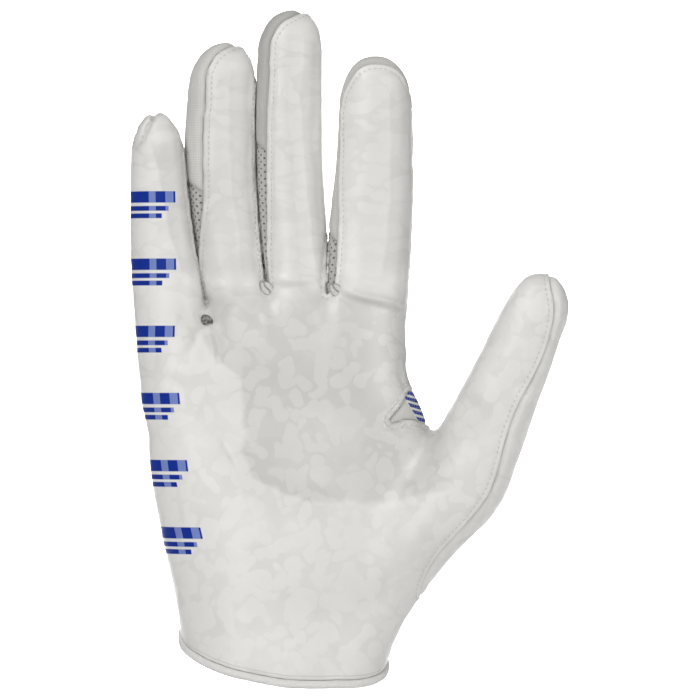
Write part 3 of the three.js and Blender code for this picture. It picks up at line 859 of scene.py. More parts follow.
# Pitch of the knit in metres
KNIT_PITCH = 0.0009
# Pitch of the perforations round a finger and along it, and their radius, in mm
HOLES_AROUND = 1.5
HOLES_ALONG = 2.4
HOLE_RADIUS = 0.34
# Bars in each group: middle and half height as shares of the group, and how far they stop short, in mm
BARS = table("centre half short", (0.285, 0.085, 0.0), (0.455, 0.036, 2.4), (0.565, 0.036, 4.8))


class Wiring:
    """Short ways to add and join shader nodes"""

    def __init__(self, name):
        self.material = bpy.data.materials.new(name)
        self.material.use_nodes = True
        self.nodes = self.material.node_tree.nodes
        self.shader = self.nodes["Principled BSDF"]

    def node(self, kind, **settings):
        node = self.nodes.new(kind)
        for key, value in settings.items():
            setattr(node, key, value)
        return node

    def join(self, source, target):
        self.material.node_tree.links.new(source, target)

    def feed(self, socket, value):
        if isinstance(value, bpy.types.NodeSocket):
            self.join(value, socket)
        else:
            socket.default_value = value

    def position(self, scale=(1, 1, 1)):
        place = self.node("ShaderNodeTexCoord").outputs["Object"]
        mapping = self.node("ShaderNodeMapping")
        mapping.inputs["Scale"].default_value = scale
        self.join(place, mapping.inputs["Vector"])
        return mapping.outputs["Vector"]

    def fed(self, kind, values, **settings):
        """First output of a node whose inputs take the values in order"""
        node = self.node(kind, **settings)
        for socket, value in zip(node.inputs, values):
            self.feed(socket, value)
        return node.outputs[0]

    def math(self, operation, *values):
        return self.fed("ShaderNodeMath", values, operation=operation)

    def plus(self, one, other):
        return self.math("ADD", one, other)

    def minus(self, one, other):
        return self.math("SUBTRACT", one, other)

    def times(self, one, other):
        return self.math("MULTIPLY", one, other)

    def away(self, value, middle):
        return self.math("ABSOLUTE", self.minus(value, middle))

    def vector(self, operation, *values):
        return self.fed("ShaderNodeVectorMath", values, operation=operation)

    def scaled(self, vector, amount):
        result = self.vector("SCALE", vector)
        self.feed(result.node.inputs["Scale"], amount)
        return result

    def texture(self, kind, place, inputs, **settings):
        node = self.node("ShaderNodeTex" + kind, **settings)
        self.join(place, node.inputs["Vector"])
        for key, value in inputs.items():
            node.inputs[key].default_value = value
        return node.outputs

    def noise(self, scale, detail=2.0, place=None, roughness=0.5):
        inputs = {"Scale": scale, "Detail": detail, "Roughness": roughness}
        return self.texture("Noise", place or self.position(), inputs)["Fac"]

    def cells(self, place, scale):
        inputs = {"Scale": scale, "Smoothness": 0.12}
        return self.texture("Voronoi", place, inputs, feature="SMOOTH_F1")["Distance"]

    def bands(self, direction, scale, **inputs):
        inputs["Scale"] = scale
        return self.texture("Wave", self.position(), inputs, bands_direction=direction)["Fac"]

    def remap(self, value, low, high, to_low=0.0, to_high=1.0):
        values = (value, low, high, to_low, to_high)
        return self.fed("ShaderNodeMapRange", values, interpolation_type="SMOOTHSTEP")

    def blend(self, amount, one, other):
        node = self.node("ShaderNodeMix", data_type="RGBA")
        self.feed(node.inputs[0], amount)
        for socket, colour in ((node.inputs[6], one), (node.inputs[7], other)):
            self.feed(socket, colour if isinstance(colour, bpy.types.NodeSocket) else (*colour, 1))
        return node.outputs[2]

    def seam_shaded(self, colour, reach, share, dark):
        """The colour, darkened towards the panel's sewn edge as painted shade in the seam"""
        return self.blend(self.remap(self.attribute("edge"), 0.0, reach, share, 0.0), colour, dark)

    def height(self, scale=1):
        return self.fed("ShaderNodeSeparateXYZ", [self.position((scale, scale, scale))]).node.outputs["Z"]

    def attribute(self, name):
        return self.node("ShaderNodeAttribute", attribute_name=name).outputs["Fac"]

    def bump(self, height, distance, strength, under=None):
        node = self.node("ShaderNodeBump")
        node.inputs["Strength"].default_value = strength
        node.inputs["Distance"].default_value = distance
        self.join(height, node.inputs["Height"])
        if under is not None:
            self.join(under, node.inputs["Normal"])
        return node.outputs["Normal"]

    def finish(self, colour, roughness, normal=None, **uniform):
        self.feed(self.shader.inputs["Base Color"], colour)
        self.feed(self.shader.inputs["Roughness"], roughness)
        if normal is not None:
            self.join(normal, self.shader.inputs["Normal"])
        for key, value in uniform.items():
            self.shader.inputs[key.replace("_", " ")].default_value = value
        return self.material


def mottled(w):
    """Print in the film: light patches with darker veins, long across the fingers and round in the palm"""
    warp = w.noise(85.0, 1.5).node.outputs["Color"]
    shift = w.scaled(w.vector("SUBTRACT", warp, (0.5, 0.5, 0.5)), 0.013)
    palm = w.cells(w.vector("ADD", w.position(), shift), 175.0)
    across = w.cells(w.vector("ADD", w.position((0.7, 0.7, 1.5)), shift), 165.0)
    upper = w.remap(w.height(), 0.118, 0.135)
    mixed = w.plus(w.times(palm, w.minus(1.0, upper)), w.times(across, upper))
    patches = w.remap(mixed, 0.62, 0.5)
    # The veins fade and the patches differ a little from place to place
    fade = w.remap(w.noise(60.0, 1.0), 0.35, 0.65, 0.4, 0.9)
    # In the painted shade of the palm's hollow the veins are deepened too
    fade = w.times(fade, w.remap(w.attribute("hollow"), 0.0, 1.0, 0.85, 1.35))
    return w.minus(1.0, w.times(w.minus(1.0, patches), fade))


def hem_groove_shade(w, colour):
    """Darkens the two stitched lines just above the binding, as painted shade in their grooves"""
    hem = w.attribute("hem")
    low = w.remap(w.math("ABSOLUTE", hem), 0.3, 0.1, 0.0, 0.45)
    high = w.remap(w.away(hem, 1.35), 0.26, 0.08, 0.0, 0.3)
    return w.blend(w.math("MAXIMUM", low, high), colour, HEM_SHADE)


@lru_cache(maxsize=None)
def film_finish(with_bars):
    """Tacky film with its print, painted sheen patches, painted shade and light, painted shade at seams and
    in creases, puckers with painted highlights and shade, and with the bars down the pinky side
    """
    w = Wiring("Tacky film with bars" if with_bars else "Tacky film")
    colours = bpy.context.scene.glove_colours
    blobs = mottled(w)
    colour = w.blend(blobs, colours.vein, colours.film)
    # Painted sheen: soft lighter patches that stand for the film's broad reflections
    sheen_patches = w.noise(42.0, 3.0, roughness=0.55)
    colour = w.blend(w.remap(sheen_patches, 0.5, 0.56, 0.0, 0.16), colour, SHEEN_PATCH)
    # Painted shade of the hollow, and painted shade and light of the finger bands and soft patches, scale the
    # colour
    painted_shade = w.plus(w.times(w.attribute("hollow"), 0.14), w.times(w.attribute("painted_light"), 0.12))
    colour = w.scaled(colour, w.minus(1.0, painted_shade))
    if with_bars:
        along, across = w.attribute("along"), w.attribute("across")
        group = w.math("FRACT", along)
        mark = 0.0
        for bar in BARS:
            high = w.remap(w.away(group, bar["centre"]), bar["half"] + 0.006, bar["half"] - 0.006)
            wide = w.remap(across, -bar["short"], -bar["short"] - 0.25)
            mark = w.math("MAXIMUM", mark, w.times(high, wide))
        mark = w.times(mark, w.attribute("barred"))
        # The film's gloss shows on the bars as two paler bands along the finger, as a painted highlight
        inner = w.remap(w.away(across, -2.2), 1.5, 1.3)
        outer = w.remap(w.away(across, -8.2), 1.3, 1.1)
        blue = w.blend(w.math("MAXIMUM", inner, outer), colours.mark, colours.mark_highlight)
        colour = w.blend(mark, colour, blue)
    colour = w.seam_shaded(colour, 1.2, 0.16, FILM_EDGE_SHADE)
    # Painted shade along the creases
    colour = w.blend(w.times(w.attribute("line"), 0.8), colour, FILM_CREASE_SHADE)
    colour = hem_groove_shade(w, colour)
    # Wavy puckers where the film is sewn round the gusset, with painted highlights on their ridges and
    # painted shade in their troughs
    wobble = w.times(w.minus(w.noise(620.0), 0.5), 3.0)
    rows = w.math("FRACT", w.math("DIVIDE", w.plus(w.attribute("gather"), wobble), 1.15))
    rows = w.times(w.away(rows, 0.5), 2.0)
    pucker = w.times(w.attribute("pucker"), w.remap(w.noise(230.0, 1.0), 0.4, 0.58))
    colour = w.blend(w.times(pucker, w.remap(rows, 0.5, 0.95, 0.0, 0.6)), colour, PUCKER_HIGHLIGHT)
    colour = w.blend(w.times(pucker, w.remap(rows, 0.42, 0.1, 0.0, 0.45)), colour, PUCKER_SHADE)
    normal = w.bump(w.noise(1500.0), 0.00005, 0.35)
    normal = w.bump(w.times(pucker, rows), 0.0004, 0.6, normal)
    normal = w.bump(w.noise(260.0, place=w.position((1, 1, 0.7))), 0.0005, 0.22, normal)
    normal = w.bump(blobs, 0.0002, 0.25, normal)
    w.finish(colour, w.remap(blobs, 0.0, 1.0, 0.55, 0.45), normal, Coat_Roughness=0.26)
    # The printed bars take most of the film's sheen away
    plain = w.minus(1.0, mark) if with_bars else 1.0
    w.feed(w.shader.inputs["Coat Weight"], w.math("MULTIPLY_ADD", plain, 0.38, 0.06))
    w.feed(w.shader.inputs["Specular IOR Level"], w.math("MULTIPLY_ADD", plain, 0.38, 0.12))
    return w.material


def weave(w):
    """Height of a fine knit, whose loops are KNIT_PITCH apart"""
    wales, courses = (w.bands(axis, 1 / KNIT_PITCH / 3, Distortion=1.2, Detail=1.0) for axis in "XZ")
    return w.times(wales, courses)


def toned(colour, amount):
    """The colour times the amount"""
    return tuple(c * amount for c in colour)


@lru_cache(maxsize=None)
def knit_finish():
    w, colours = Wiring("Back knit"), bpy.context.scene.glove_colours
    loops = weave(w)
    colour = w.blend(w.remap(loops, 0.0, 0.8), toned(colours.knit, 0.86), colours.knit)
    colour = w.blend(w.remap(w.noise(30.0, 3.0), 0.3, 0.7, 0.0, 0.25), colour, toned(colours.knit, 0.92))
    colour = w.seam_shaded(colour, 1.8, 0.2, KNIT_EDGE_SHADE)
    # Painted shade and light on the finger sides, from the back panel
    colour = w.scaled(colour, w.minus(1.0, w.attribute("painted_shade")))
    normal = w.bump(loops, 0.00015, 0.3)
    return w.finish(hem_groove_shade(w, colour), 0.85, normal, Sheen_Weight=0.25, Sheen_Roughness=0.4)


@lru_cache(maxsize=None)
def gusset_finish():
    """Smooth knit with a ladder of blue rungs along the fork's edge"""
    w, colours = Wiring("Gusset knit"), bpy.context.scene.glove_colours
    loops = weave(w)
    pale = toned(colours.side, 1.12)
    colour = w.blend(w.remap(loops, 0.0, 0.8), toned(pale, 0.94), pale)
    colour = w.seam_shaded(colour, 1.2, 0.3, KNIT_EDGE_SHADE)
    step = w.away(w.math("FRACT", w.attribute("rung")), 0.5)
    rung = w.times(w.remap(step, 0.34, 0.27), w.remap(w.attribute("rail"), -2.6, -2.3))
    colour = w.blend(w.remap(w.attribute("rail"), -2.8, -2.5, 0.0, 0.8), colour, colours.tape)
    rung = w.times(rung, w.remap(loops, 0.0, 0.3, 0.82, 1.0))
    colour = w.blend(rung, colour, colours.mark)
    return w.finish(colour, 0.8, w.bump(loops, 0.0001, 0.3))


@lru_cache(maxsize=None)
def shade_sheet_finish():
    """Painted shade: a dark sheet for the shadowed inside of the glove seen through a gathered web"""
    w, colours = Wiring("Painted shade sheet"), bpy.context.scene.glove_colours
    grain = w.noise(1100.0)
    colour = w.blend(w.remap(grain, 0.38, 0.62), toned(colours.hole, 0.45), toned(colours.hole, 1.5))
    return w.finish(colour, 0.9, w.bump(grain, 0.0004, 0.8))


@lru_cache(maxsize=None)
def gathered_finish():
    """Knit gathered at a web, with painted shade in its folds and round its edge"""
    w, colours = Wiring("Gathered knit"), bpy.context.scene.glove_colours
    grain = w.noise(900.0)
    colour = w.blend(w.remap(grain, 0.35, 0.65), colours.knit, toned(colours.knit, 0.9))
    colour = w.blend(w.remap(w.attribute("edge"), 0.15, 1.25, 0.85, 0.0), colour, DEEP_EDGE_SHADE)
    return w.finish(colour, 0.8, w.bump(grain, 0.0002, 0.4))


@lru_cache(maxsize=None)
def perforated_finish():
    """Knit with staggered rows of small round holes"""
    w, colours = Wiring("Perforated knit"), bpy.context.scene.glove_colours
    # Rows are counted from far outside, so that their numbers stay above zero
    across = w.plus(w.math("DIVIDE", w.attribute("around"), HOLES_AROUND), 100.0)
    odd = w.times(w.math("MODULO", w.math("FLOOR", across), 2.0), 0.5)
    along = w.plus(w.math("DIVIDE", w.height(1000), HOLES_ALONG), odd)
    dy, dz = (w.times(w.minus(w.math("FRACT", at), 0.5), pitch)
              for at, pitch in ((across, HOLES_AROUND), (along, HOLES_ALONG)))
    away = w.math("SQRT", w.plus(w.times(dy, dy), w.times(dz, dz)))
    hole = w.remap(away, HOLE_RADIUS + 0.1, HOLE_RADIUS - 0.08)
    loops = weave(w)
    colour = w.blend(w.remap(loops, 0.0, 0.8), toned(colours.side, 0.88), colours.side)
    colour = w.seam_shaded(colour, 1.6, 0.28, DEEP_EDGE_SHADE)
    # Painted shade inside each perforation
    colour = w.blend(hole, colour, colours.hole)
    normal = w.bump(w.minus(1.0, hole), 0.0006, 1.0, w.bump(loops, 0.0002, 0.4))
    return w.finish(colour, 0.85, normal)


@lru_cache(maxsize=None)
def tape_finish():
    w, colours = Wiring("Elastic tape"), bpy.context.scene.glove_colours
    grain = w.noise(900.0)
    colour = w.blend(w.remap(grain, 0.35, 0.65), toned(colours.tape, 0.96), colours.tape)
    normal = w.bump(w.bands("X", 420.0), 0.00005, 0.2, w.bump(grain, 0.00005, 0.2))
    return w.finish(colour, 0.75, normal, Sheen_Weight=0.2)


@lru_cache(maxsize=None)
def thread_finish():
    w, colours = Wiring("Thread"), bpy.context.scene.glove_colours
    twist = w.bands("DIAGONAL", 900.0)
    colour = w.blend(twist, toned(colours.thread, 0.85), colours.thread)
    return w.finish(colour, 0.6, w.bump(twist, 0.00005, 0.4))


# Stitches


def level_lines(points, faces, values, level):
    """Polylines on a mesh where values equal a level"""
    over = values > level
    count = over[faces].sum(1)
    links = {}
    places = {}
    for face in faces[(count == 1) | (count == 2)]:
        ends = []
        for a, b in ((0, 1), (1, 2), (2, 0)):
            i, j = sorted((int(face[a]), int(face[b])))
            if over[i] != over[j]:
                t = (level - values[i]) / (values[j] - values[i])
                places[(i, j)] = points[i] + (points[j] - points[i]) * t
                ends.append((i, j))
        for one, other in (ends, ends[::-1]):
            links.setdefault(one, []).append(other)
    lines, seen = [], set()
    starts = [key for key, to in links.items() if len(to) == 1] + list(links)
    for start in starts:
        if start in seen:
            continue
        line, here = [start], start
        seen.add(start)
        while True:
            onward = [key for key in links[here] if key not in seen]
            if not onward:
                break
            here = onward[0]
            seen.add(here)
            line.append(here)
        if len(line) > 8:
            lines.append(np.array([places[key] for key in line]))
    return lines


def along_line(line, pitch):
    """Evenly spaced places and directions on a polyline"""
    for _ in range(3):
        line = np.concatenate([line[:1], (line[:-2] + 2 * line[1:-1] + line[2:]) / 4, line[-1:]])
    steps = np.linalg.norm(np.diff(line, axis=0), axis=1)
    run = np.concatenate([[0], np.cumsum(steps)])
    if run[-1] < pitch:
        return np.zeros((0, 3)), np.zeros((0, 3))
    spots = np.arange(pitch / 2, run[-1], pitch)
    at = lambda r: np.stack([np.interp(r, run, line[:, k]) for k in range(3)], 1)
    direction = at(spots + 0.4) - at(spots - 0.4)
    return at(spots), direction / np.maximum(np.linalg.norm(direction, axis=1), 1e-9)[:, None]


# Length and radius of a stitch, in mm, and its rings: place along it, size and lift as shares of these
STITCH_LENGTH = 1.1
STITCH_RADIUS = 0.16
STITCH_RINGS = ((-0.5, 0.35, -0.5), (-0.3, 0.95, 0.0), (0.0, 1.0, 0.25), (0.3, 0.95, 0.0), (0.5, 0.35, -0.5))


def stitch_mesh(spots, directions, normals):
    """A rounded thread float at each spot, sunk a little at its two ends"""
    sides, rings, length, radius = 6, STITCH_RINGS, STITCH_LENGTH, STITCH_RADIUS
    across = np.cross(directions, normals)
    across /= np.maximum(np.linalg.norm(across, axis=1), 1e-9)[:, None]
    up = np.cross(across, directions)
    all_points = []
    turns = np.arange(sides) * 2 * math.pi / sides
    for place, size, lift in rings:
        for turn in turns:
            all_points.append(spots + directions * place * length + across * (math.cos(turn) * radius * size)
                              + up * (math.sin(turn) * radius * size + lift * radius))
    for place in (-0.56, 0.56):
        all_points.append(spots + directions * place * length - up * radius * 0.7)
    stack = np.stack(all_points, 1)
    pattern = []
    for j in range(len(rings) - 1):
        for i in range(sides):
            a, b = j * sides + i, j * sides + (i + 1) % sides
            pattern += [(a, b, b + sides), (a, b + sides, a + sides)]
    low, high = len(rings) * sides, len(rings) * sides + 1
    for i in range(sides):
        pattern += [(low, (i + 1) % sides, i), (high, low - sides + i, low - sides + (i + 1) % sides)]
    per = stack.shape[1]
    faces = (np.array(pattern)[None] + (np.arange(len(spots)) * per)[:, None, None]).reshape(-1, 3)
    return stack.reshape(-1, 3), faces[:, ::-1]


def add_stitches(name, source, inset, pitch):
    """Stitches on a panel at an inset from its sewn edge"""
    points, normals, faces, near = dressed(source)
    spots, directions = [], []
    for line in level_lines(points, faces, near, inset):
        at, along = along_line(line, pitch)
        spots.append(at)
        directions.append(along)
    spots, directions = np.concatenate(spots), np.concatenate(directions)
    tree = search_tree(points)
    out = np.array([normals[tree.find(spot)[1]] for spot in spots])
    lifted = spots + out * STITCH_RADIUS * 0.35
    obj = add_piece(name, *stitch_mesh(lifted, directions, out), thread_finish())


def add_panel(name, material, extra=None):
    """One sewn panel, thickened, in place of its solid"""
    form = glove_form()
    points, normals, faces, near = dressed(name)
    closed, all_faces = thickened((points, normals, faces), form.s.cloth)
    hem = form.above_hem(*points.T) - form.s.binding_height
    outside = {"edge": near, "hem": hem, **(extra or {})}
    attributes = {key: np.concatenate([values, values]) for key, values in outside.items()}
    obj = add_piece(name + "_cloth", closed, all_faces, material, attributes)
    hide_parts(name)


# The line on which the painted shade of the palm's hollow ends towards the pinky side: its heights, and x
# there, in mm
HOLLOW_SHADE_EDGE = [58, 64, 72, 98, 104, 114], [-2, -12, -16.5, -16.5, -25, -31]


def hollow_shade(points):
    """Painted shade of the film in the hollow of the palm"""
    x, _, z = points.T
    ragged = 1.6 * wave_noise(points, 18.0, 17)
    left = np.interp(z, *HOLLOW_SHADE_EDGE)
    low = 53.5 + 0.0055 * (x - 24) ** 2
    inside = smoothstep((x - left + ragged) / 2.5) * smoothstep((z - low + ragged) / 2.5)
    return inside * smoothstep((133 - z) / 9) * smoothstep((61 - x) / 9)


# Middle of the topmost group of bars and distance to the next, in mm, and how many groups there are
BARS_TOP = 158.2
BARS_PITCH = 23.4
BARS_COUNT = 6
# The line on which the bars end towards the palm: its heights, and x there, in mm
BARS_EDGE = [20, 42, 64, 88, 111, 134, 158, 175], [-25, -28.5, -33.5, -36.5, -38.6, -38, -38.2, -38.5]


def bar_attributes(points):
    """Where a point lies in the column of bars along the pinky side, which leans with the hand's edge"""
    x, y, z = points.T
    along = (BARS_TOP - z) / BARS_PITCH + 0.43
    edge = np.interp(z, *BARS_EDGE)
    inside = (along > 0) & (along < BARS_COUNT) & (y < 2.0) & (x < edge + 2)
    return {"along": along, "across": x - edge, "barred": inside.astype(float)}


def film_attributes(points):
    """Painted light on the film: shade in the palm's hollow, shade and highlight bands on the fingers and in
    soft patches, shade in creases, and the gusset's puckers
    """
    form = glove_form()
    x, y, z = points.T
    index = form.finger_at(x, z)
    ragged = 0.14 * wave_noise(points, 26.0, 23)
    # Painted shade and highlight bands across each finger
    band_shades = np.zeros(len(points))
    for i, (places, tones, lean) in enumerate(SHEEN_BANDS):
        here = index == i
        u, _, half, _ = form.in_finger(i, x[here], y[here], z[here])
        top = form.s.finger_root + FINGERS[i]["reach"]
        length = smoothstep((z[here] - 132) / 6) * smoothstep((top - 8 - z[here]) / 5)
        across = u / half + ragged[here] + lean * (z[here] - SHEEN_BAND_LEVEL)
        band_shades[here] = np.interp(across, places, tones) * length
    reach = np.array([form.s.thumb_side, form.s.thumb_up])
    gather = -outline_distance(points, np.array(GUSSET_EDGE) * reach, closed=True)
    return {"hollow": hollow_shade(points), "painted_light": band_shades + strokes(points, SOFT_SHADE_AND_LIGHT, "dark"),
            "line": np.minimum(strokes(points, CREASE_SHADE_LINES, "dark"), 1), "gather": gather,
            "pucker": np.clip(1.15 - gather / 5.0, 0, 1)}


class PalmPanel(bpy.types.Operator):
    """Adds the film palm panel with its mottled print and plain bars"""

    bl_idname = "glove.palm_panel"
    bl_label = "Palm panel"

    def execute(self, context):
        points = dressed("palm_panel")[0]
        extra = {**bar_attributes(points), **film_attributes(points)}
        add_panel("palm_panel", film_finish(True), extra)
        return {"FINISHED"}


class BackPanel(bpy.types.Operator):
    """Adds the knit back panel"""

    bl_idname = "glove.back_panel"
    bl_label = "Back panel"

    def execute(self, context):
        form = glove_form()
        x, y, z = dressed("back_panel")[0].T
        index = form.finger_at(x, z)
        # Painted shade on the middle finger's sides, where they lie between fingers, and painted light on the
        # ring finger's sides
        on_finger = smoothstep((z - 128) / 8) * smoothstep((4 - y) / 4)
        painted_shade = np.where(index == 2, 0.16, np.where(index == 1, -0.09, 0.0)) * on_finger
        add_panel("back_panel", knit_finish(), {"painted_shade": painted_shade})
        return {"FINISHED"}


class FingerSides(bpy.types.Operator):
    """Adds the perforated strips between the fingers"""

    bl_idname = "glove.finger_sides"
    bl_label = "Finger sides"

    def execute(self, context):
        for name in STRIPS:
            points = dressed(name)[0]
            add_panel(name, perforated_finish(), {"around": around_finger(points)})
        return {"FINISHED"}


def around_finger(points):
    """Arc length in mm round a finger from its side, towards the back where it is above zero"""
    form = glove_form()
    x, y, z = points.T
    index = form.finger_at(x, z)
    arc = np.zeros(len(points))
    for i in range(len(FINGERS)):
        here = index == i
        u, v, half, deep = form.in_finger(i, x[here], y[here], z[here])
        arc[here] = np.arctan2(v / deep, np.abs(u) / half) * (half + deep) / 2
    return arc


def leaf_mesh(centre, length, width, tilt):
    """A small gathered fold: a pointed oval with ridges along it, closed behind"""
    rings, turns = 10, 28
    points, faces, near = [], [], []
    for side in (1, -1):
        for ring in range(rings + 1):
            r = ring / rings
            for turn in range(turns):
                angle = 2 * math.pi * turn / turns
                a, b = r * math.cos(angle), r * math.sin(angle) * abs(math.sin(angle)) ** 0.4
                # One slanting valley between two ridges
                valley = min(abs(b + 0.3 * a - 0.1 * math.sin(5 * a)) / 0.32, 1)
                high = side * (0.55 * (1 - r * r)) - (0.45 * (1 - valley) * (1 - r * r) if side > 0 else 0)
                u, v = a * length / 2, b * width / 2
                # Low at the rim and in the valley, where the gathered knit gets painted shade
                near.append(1.5 * (1 - r**5) * (0.12 + 0.88 * valley))
                points.append((centre[0] + u * math.cos(tilt) - v * math.sin(tilt), centre[1] - high,
                               centre[2] + u * math.sin(tilt) + v * math.cos(tilt)))
        start = 0 if side > 0 else (rings + 1) * turns
        for ring in range(rings):
            for turn in range(turns):
                a, b = start + ring * turns + turn, start + ring * turns + (turn + 1) % turns
                faces.append((a, a + turns, b + turns, b) if side < 0 else (a, b, b + turns, a + turns))
    return np.array(points), triangles_of(np.array(faces)), near


# Gathered folds at the three webs: x and z of the middle, length and width in mm, tilt in degrees, and
# whether it is dark, a sheet of painted shade for a shadowed opening
WEB_FOLDS = table(
    "name centre length width tilt dark",
    ("web_fold_pinky_ring", (-27.4, 118.3), 5.7, 3.9, -52, True),
    ("web_fold_ring_middle", (-6.5, 129.8), 6.6, 4.2, -47, False),
    ("web_fold_middle_index", (17.8, 129.0), 6.8, 4.2, -42, False),
)


class WebFolds(bpy.types.Operator):
    """Adds the small gathered folds where the finger strips meet the palm"""

    bl_idname = "glove.web_folds"
    bl_label = "Web folds"

    def execute(self, context):
        form = glove_form()
        for fold in WEB_FOLDS:
            x, z = fold["centre"]
            tilt = math.radians(fold["tilt"])
            # It spans the dip between the two fingers, so the surface beside it sets its depth
            beside = [form.front(x + a * math.sin(tilt), z - a * math.cos(tilt)) for a in (-1.6, 0.0, 1.6)]
            centre = (x, min(beside) + (0.35 if fold["dark"] else -0.2), z)
            points, faces, near = leaf_mesh(centre, fold["length"], fold["width"], tilt)
            # The dark fold is a sheet of painted shade for the shadowed opening
            material = shade_sheet_finish() if fold["dark"] else gathered_finish()
            obj = add_piece(fold["name"], points, faces, material, {"edge": near})
        return {"FINISHED"}


class ThumbPieces(bpy.types.Operator):
    """Adds the gusset in the fork of the thumb and the strip along the thumb's outer side"""

    bl_idname = "glove.thumb_pieces"
    bl_label = "Thumb gusset and strip"

    def execute(self, context):
        x, _, z = dressed("thumb_gusset")[0].T
        # The rungs lie between the fork's edge, which leans outwards as it falls, and a line beside it
        rail = x - 42.9 - 0.58 * (93.6 - z)
        fork = {"rail": rail, "rung": (93.2 - z - 0.35 * rail) / 2.42 + 10.5}
        add_panel("thumb_gusset", gusset_finish(), fork)
        add_panel("thumb_side_strip", film_finish(False))
        return {"FINISHED"}


# How much thicker the tape is than a panel, in mm
TAPE_EXTRA = 1.2


class CuffBinding(bpy.types.Operator):
    """Adds the folded elastic tape round the wrist opening"""

    bl_idname = "glove.cuff_binding"
    bl_label = "Cuff binding"

    def execute(self, context):
        form = glove_form()
        points, normals, faces = panels()["cuff_binding"]
        height = form.above_hem(*points.T) / form.s.binding_height
        # The folded tape is rolled outwards by 1 mm, and thicker than the cloth that it binds
        roll = np.sqrt(np.clip(1 - (2 * height - 1) ** 2, 0, 1))
        points = points + normals * roll[:, None]
        closed, all_faces = thickened((points, normals, faces), form.s.cloth + TAPE_EXTRA)
        obj = add_piece("cuff_binding_tape", closed, all_faces, tape_finish())
        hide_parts("cuff_binding")
        return {"FINISHED"}


class Topstitching(bpy.types.Operator):
    """Adds the stitches along the palm panel's edges"""

    bl_idname = "glove.topstitching"
    bl_label = "Topstitching"

    def execute(self, context):
        sizes = context.scene.glove_sizes
        add_stitches("palm_panel_stitches", "palm_panel", sizes.stitch_inset, sizes.stitch_pitch)
        return {"FINISHED"}


def add_lamp(scene, light, place, aim):
    lamp = bpy.data.objects.new(light.name, light)
    lamp.location = place
    lamp.rotation_euler = (aim - lamp.location).to_track_quat("-Z", "Y").to_euler()
    scene.collection.objects.link(lamp)


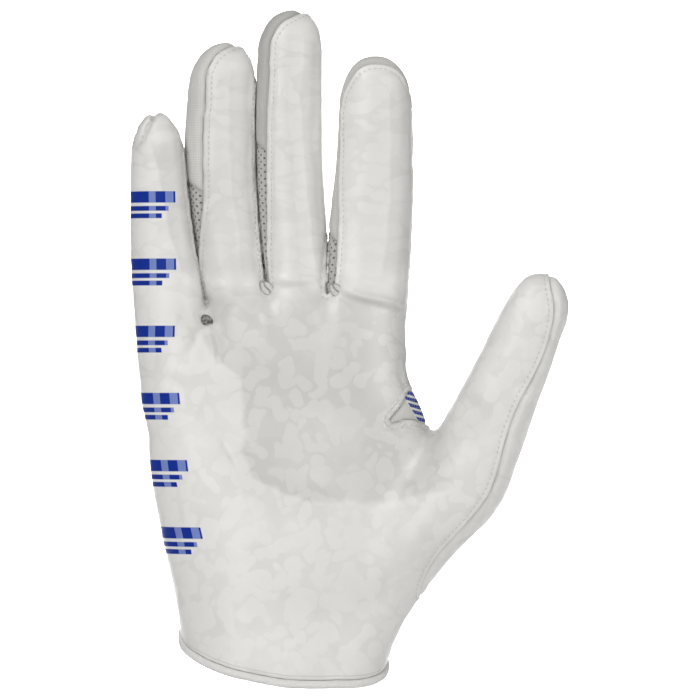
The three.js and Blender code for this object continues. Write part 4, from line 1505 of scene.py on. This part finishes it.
class Stage(bpy.types.Operator):
    """Adds the floor, the soft lights and the camera"""

    bl_idname = "glove.stage"
    bl_label = "Stage"

    def execute(self, context):
        scene = context.scene
        w = Wiring("Pale floor")
        pale = w.finish(w.blend(w.noise(6.0), (0.93, 0.93, 0.93), (0.95, 0.95, 0.95)), 0.9)
        bend = np.linspace(0, math.pi / 2, 17)[1:]
        sweep = [(0.2, 0.001), (0.35, 0.001)]
        sweep += [(0.35 + 0.4 * math.sin(a), 0.401 - 0.4 * math.cos(a)) for a in bend] + [(0.75, 1.2)]
        for name, profile, reach in (("floor", [(-4.0, 0.0), (4.0, 0.0)], 4.0), ("backdrop", sweep, 0.4)):
            mesh = bpy.data.meshes.new(name)
            verts = [(x, y, z - 0.046) for y, z in profile for x in (0.02 - reach, 0.02 + reach)]
            strips = [(i, i + 1, i + 3, i + 2) for i in range(0, len(verts) - 2, 2)]
            mesh.from_pydata(verts, [], strips)
            for polygon in mesh.polygons:
                polygon.use_smooth = True
            mesh.materials.append(pale)
            ground = bpy.data.objects.new(name, mesh)
            scene.collection.objects.link(ground)
        world = bpy.data.worlds.new("Soft sky")
        world.use_nodes = True
        sky = world.node_tree.nodes["Background"]
        sky.inputs["Color"].default_value = (1, 1, 1, 1)
        sky.inputs["Strength"].default_value = 0.25
        scene.world = world
        scene.view_settings.view_transform = "Standard"
        glove = Vector((0.02, 0.0, 0.11))
        lamps = (
            ("key", (-0.6, -1.05, 1.25), 0.7, 0.7, 9.6),
            ("strip", (-0.4, -1.6, 0.15), 0.8, 1.2, 6.8),
            ("fill", (1.2, -1.0, 0.3), 0.9, 0.9, 5.8),
        )
        for name, place, wide, tall, power in lamps:
            light = bpy.data.lights.new(name, "AREA")
            light.shape = "RECTANGLE"
            light.energy, light.size, light.size_y = power, wide, tall
            add_lamp(scene, light, place, glove)
        backdrop = bpy.data.lights.new("backdrop", "SPOT")
        backdrop.energy, backdrop.spot_size, backdrop.spot_blend = 95.0, math.radians(62), 0.6
        backdrop.shadow_soft_size = 0.15
        add_lamp(scene, backdrop, (0.02, 0.15, 0.95), Vector((0.02, 0.75, 0.1)))
        # The camera is far away, and sees the stated width at the glove
        camera = bpy.data.cameras.new("camera")
        away, width = 2.6, 0.245
        camera.lens = camera.sensor_width * away / width
        camera.clip_end = 50.0
        view = bpy.data.objects.new("camera", camera)
        view.location = (0.0224, -away, 0.1083)
        view.rotation_euler = (math.pi / 2, 0.0, 0.0)
        scene.collection.objects.link(view)
        scene.camera = view
        return {"FINISHED"}


OPERATORS = (PalmPanel, BackPanel, FingerSides, WebFolds, ThumbPieces, CuffBinding, Topstitching, Stage)


class GlovePanel(bpy.types.Panel):
    """Lists the glove's sizes, colours and pieces"""

    bl_idname = "VIEW3D_PT_glove"
    bl_label = "Glove"
    bl_space_type = "VIEW_3D"
    bl_region_type = "UI"
    bl_category = "Glove"

    def draw(self, context):
        layout = self.layout
        for group in (context.scene.glove_sizes, context.scene.glove_colours):
            for key in group.__annotations__:
                layout.prop(group, key)
        for operator in OPERATORS:
            layout.operator(operator.bl_idname)


CLASSES = (GloveSizes, GloveColours, *OPERATORS, GlovePanel)


def register():
    for cls in CLASSES:
        bpy.utils.register_class(cls)
    bpy.types.Scene.glove_sizes = bpy.props.PointerProperty(type=GloveSizes)
    bpy.types.Scene.glove_colours = bpy.props.PointerProperty(type=GloveColours)


def unregister():
    del bpy.types.Scene.glove_sizes
    del bpy.types.Scene.glove_colours
    for cls in reversed(CLASSES):
        bpy.utils.unregister_class(cls)


def main():
    register()
    bpy.ops.glove.palm_panel()
    bpy.ops.glove.back_panel()
    bpy.ops.glove.finger_sides()
    bpy.ops.glove.web_folds()
    bpy.ops.glove.thumb_pieces()
    bpy.ops.glove.cuff_binding()
    bpy.ops.glove.topstitching()
    bpy.ops.glove.stage()


if __name__ == "__main__":
    main()
